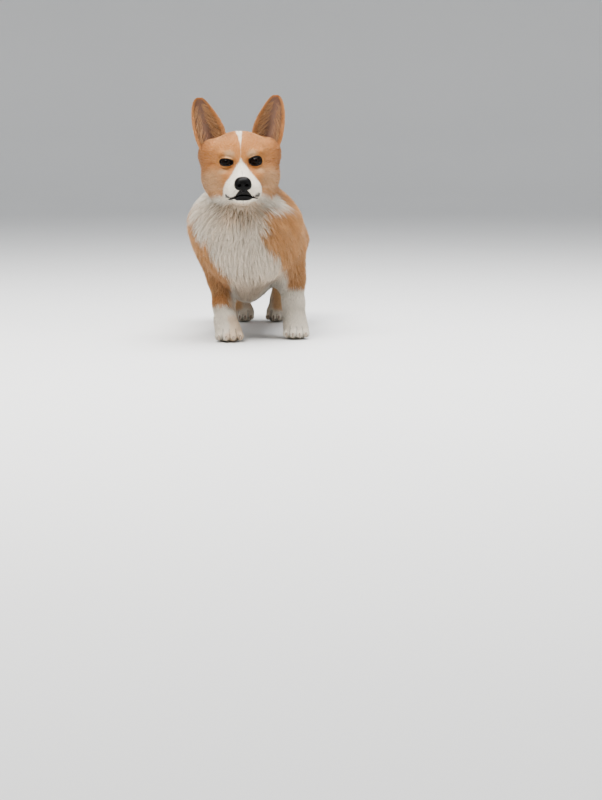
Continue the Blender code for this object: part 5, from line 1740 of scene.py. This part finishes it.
class CorgiHead(bpy.types.PropertyGroup):
    """The eyes, the nose and the inside of the ears."""

    eye_radius: FloatProperty(
        name="Eye radius", description="The radius of each eyeball",
        default=(EYE_HIGH[0] - EYE_LOW[0]) / 2.0, min=0.005, max=0.013, unit="LENGTH"
    )
    iris: FloatVectorProperty(
        name="Iris", description="The colour of the iris", default=(0.012, 0.0055, 0.003), **LINEAR
    )
    nose: FloatVectorProperty(
        name="Nose", description="The colour of the nose leather", default=(0.0030, 0.0028, 0.0028), **LINEAR
    )
    ear_skin: FloatVectorProperty(
        name="Ear skin", description="The bare skin in the cup of the ear",
        default=(0.185, 0.110, 0.078), **LINEAR
    )
    # the ear fold colour is painted shade in the cup's hollow, and also tints the veins and the border
    ear_fold: FloatVectorProperty(
        name="Ear fold", description="The darker fold deep in the ear", default=(0.075, 0.038, 0.024), **LINEAR
    )


class CorgiStage(bpy.types.PropertyGroup):
    """The floor, the light and the camera."""

    floor: FloatVectorProperty(
        name="Floor", description="The colour of the floor", default=(0.78, 0.78, 0.77), **LINEAR
    )
    light: FloatProperty(name="Light", description="How strong the lights are", default=1.0, min=0.0, max=5.0)
    camera_distance: FloatProperty(
        name="Camera distance", description="From the camera to the forefeet",
        default=3.7, min=1.0, max=10.0, unit="LENGTH"
    )
    camera_turn: FloatProperty(
        name="Camera turn", description="How far the camera stands to the dog's left",
        default=math.radians(4.3), subtype="ANGLE"
    )
    camera_rise: FloatProperty(
        name="Camera rise", description="How far the camera looks down",
        default=math.radians(6.0), subtype="ANGLE"
    )


class CORGI_OT_skin(bpy.types.Operator):
    """Add the skin of the whole dog in place of its body's solids"""

    bl_idname = "corgi.skin"
    bl_label = "Add skin"

    def execute(self, context):
        SKIN["points"], SKIN["faces"] = make_skin()
        return {"FINISHED"}


class CORGI_OT_coat(bpy.types.Operator):
    """Grow the tufts of the coat over the skin"""

    bl_idname = "corgi.coat"
    bl_label = "Grow coat"

    def execute(self, context):
        if not SKIN:
            raise RuntimeError("the coat needs the skin first")
        add_coat(SKIN["points"], SKIN["faces"])
        return {"FINISHED"}


class CORGI_OT_ears(bpy.types.Operator):
    """Add both ears with their fur"""

    bl_idname = "corgi.ears"
    bl_label = "Add ears"

    def execute(self, context):
        rng = np.random.default_rng(19)
        for side in SIDES:
            make_ear(side, rng)
        return {"FINISHED"}


class CORGI_OT_eyes(bpy.types.Operator):
    """Add both eyeballs"""

    bl_idname = "corgi.eyes"
    bl_label = "Add eyes"

    def execute(self, context):
        for side in SIDES:
            make_eye(side)
        return {"FINISHED"}


class CORGI_OT_nose(bpy.types.Operator):
    """Add the nose leather"""

    bl_idname = "corgi.nose"
    bl_label = "Add nose"

    def execute(self, context):
        make_nose()
        return {"FINISHED"}


class CORGI_OT_claws(bpy.types.Operator):
    """Add the claws of all four paws"""

    bl_idname = "corgi.claws"
    bl_label = "Add claws"

    def execute(self, context):
        make_claws()
        return {"FINISHED"}


class CORGI_OT_stage(bpy.types.Operator):
    """Add the floor, the lights and the camera"""

    bl_idname = "corgi.stage"
    bl_label = "Add stage"

    def execute(self, context):
        make_stage()
        return {"FINISHED"}


OPERATORS = (
    CORGI_OT_skin, CORGI_OT_coat, CORGI_OT_ears, CORGI_OT_eyes, CORGI_OT_nose, CORGI_OT_claws, CORGI_OT_stage,
)


class CORGI_PT_panel(bpy.types.Panel):
    """The dog's settings, with a button for each of its pieces"""

    bl_idname = "CORGI_PT_panel"
    bl_label = "Corgi"
    bl_space_type = "VIEW_3D"
    bl_region_type = "UI"
    bl_category = "Corgi"

    def draw(self, context):
        for group in (context.scene.corgi_coat, context.scene.corgi_head, context.scene.corgi_stage):
            box = self.layout.box()
            for name in group.__annotations__:
                box.prop(group, name)
        for operator in OPERATORS:
            self.layout.operator(operator.bl_idname)


CLASSES = (CorgiCoat, CorgiHead, CorgiStage, *OPERATORS, CORGI_PT_panel)


def register():
    for each in CLASSES:
        bpy.utils.register_class(each)
    bpy.types.Scene.corgi_coat = PointerProperty(type=CorgiCoat)
    bpy.types.Scene.corgi_head = PointerProperty(type=CorgiHead)
    bpy.types.Scene.corgi_stage = PointerProperty(type=CorgiStage)


def unregister():
    del bpy.types.Scene.corgi_stage, bpy.types.Scene.corgi_head, bpy.types.Scene.corgi_coat
    for each in reversed(CLASSES):
        bpy.utils.unregister_class(each)


def main():
    register()
    bpy.ops.corgi.skin()
    bpy.ops.corgi.coat()
    bpy.ops.corgi.ears()
    bpy.ops.corgi.eyes()
    bpy.ops.corgi.nose()
    bpy.ops.corgi.claws()
    bpy.ops.corgi.stage()


if __name__ == "__main__":
    main()
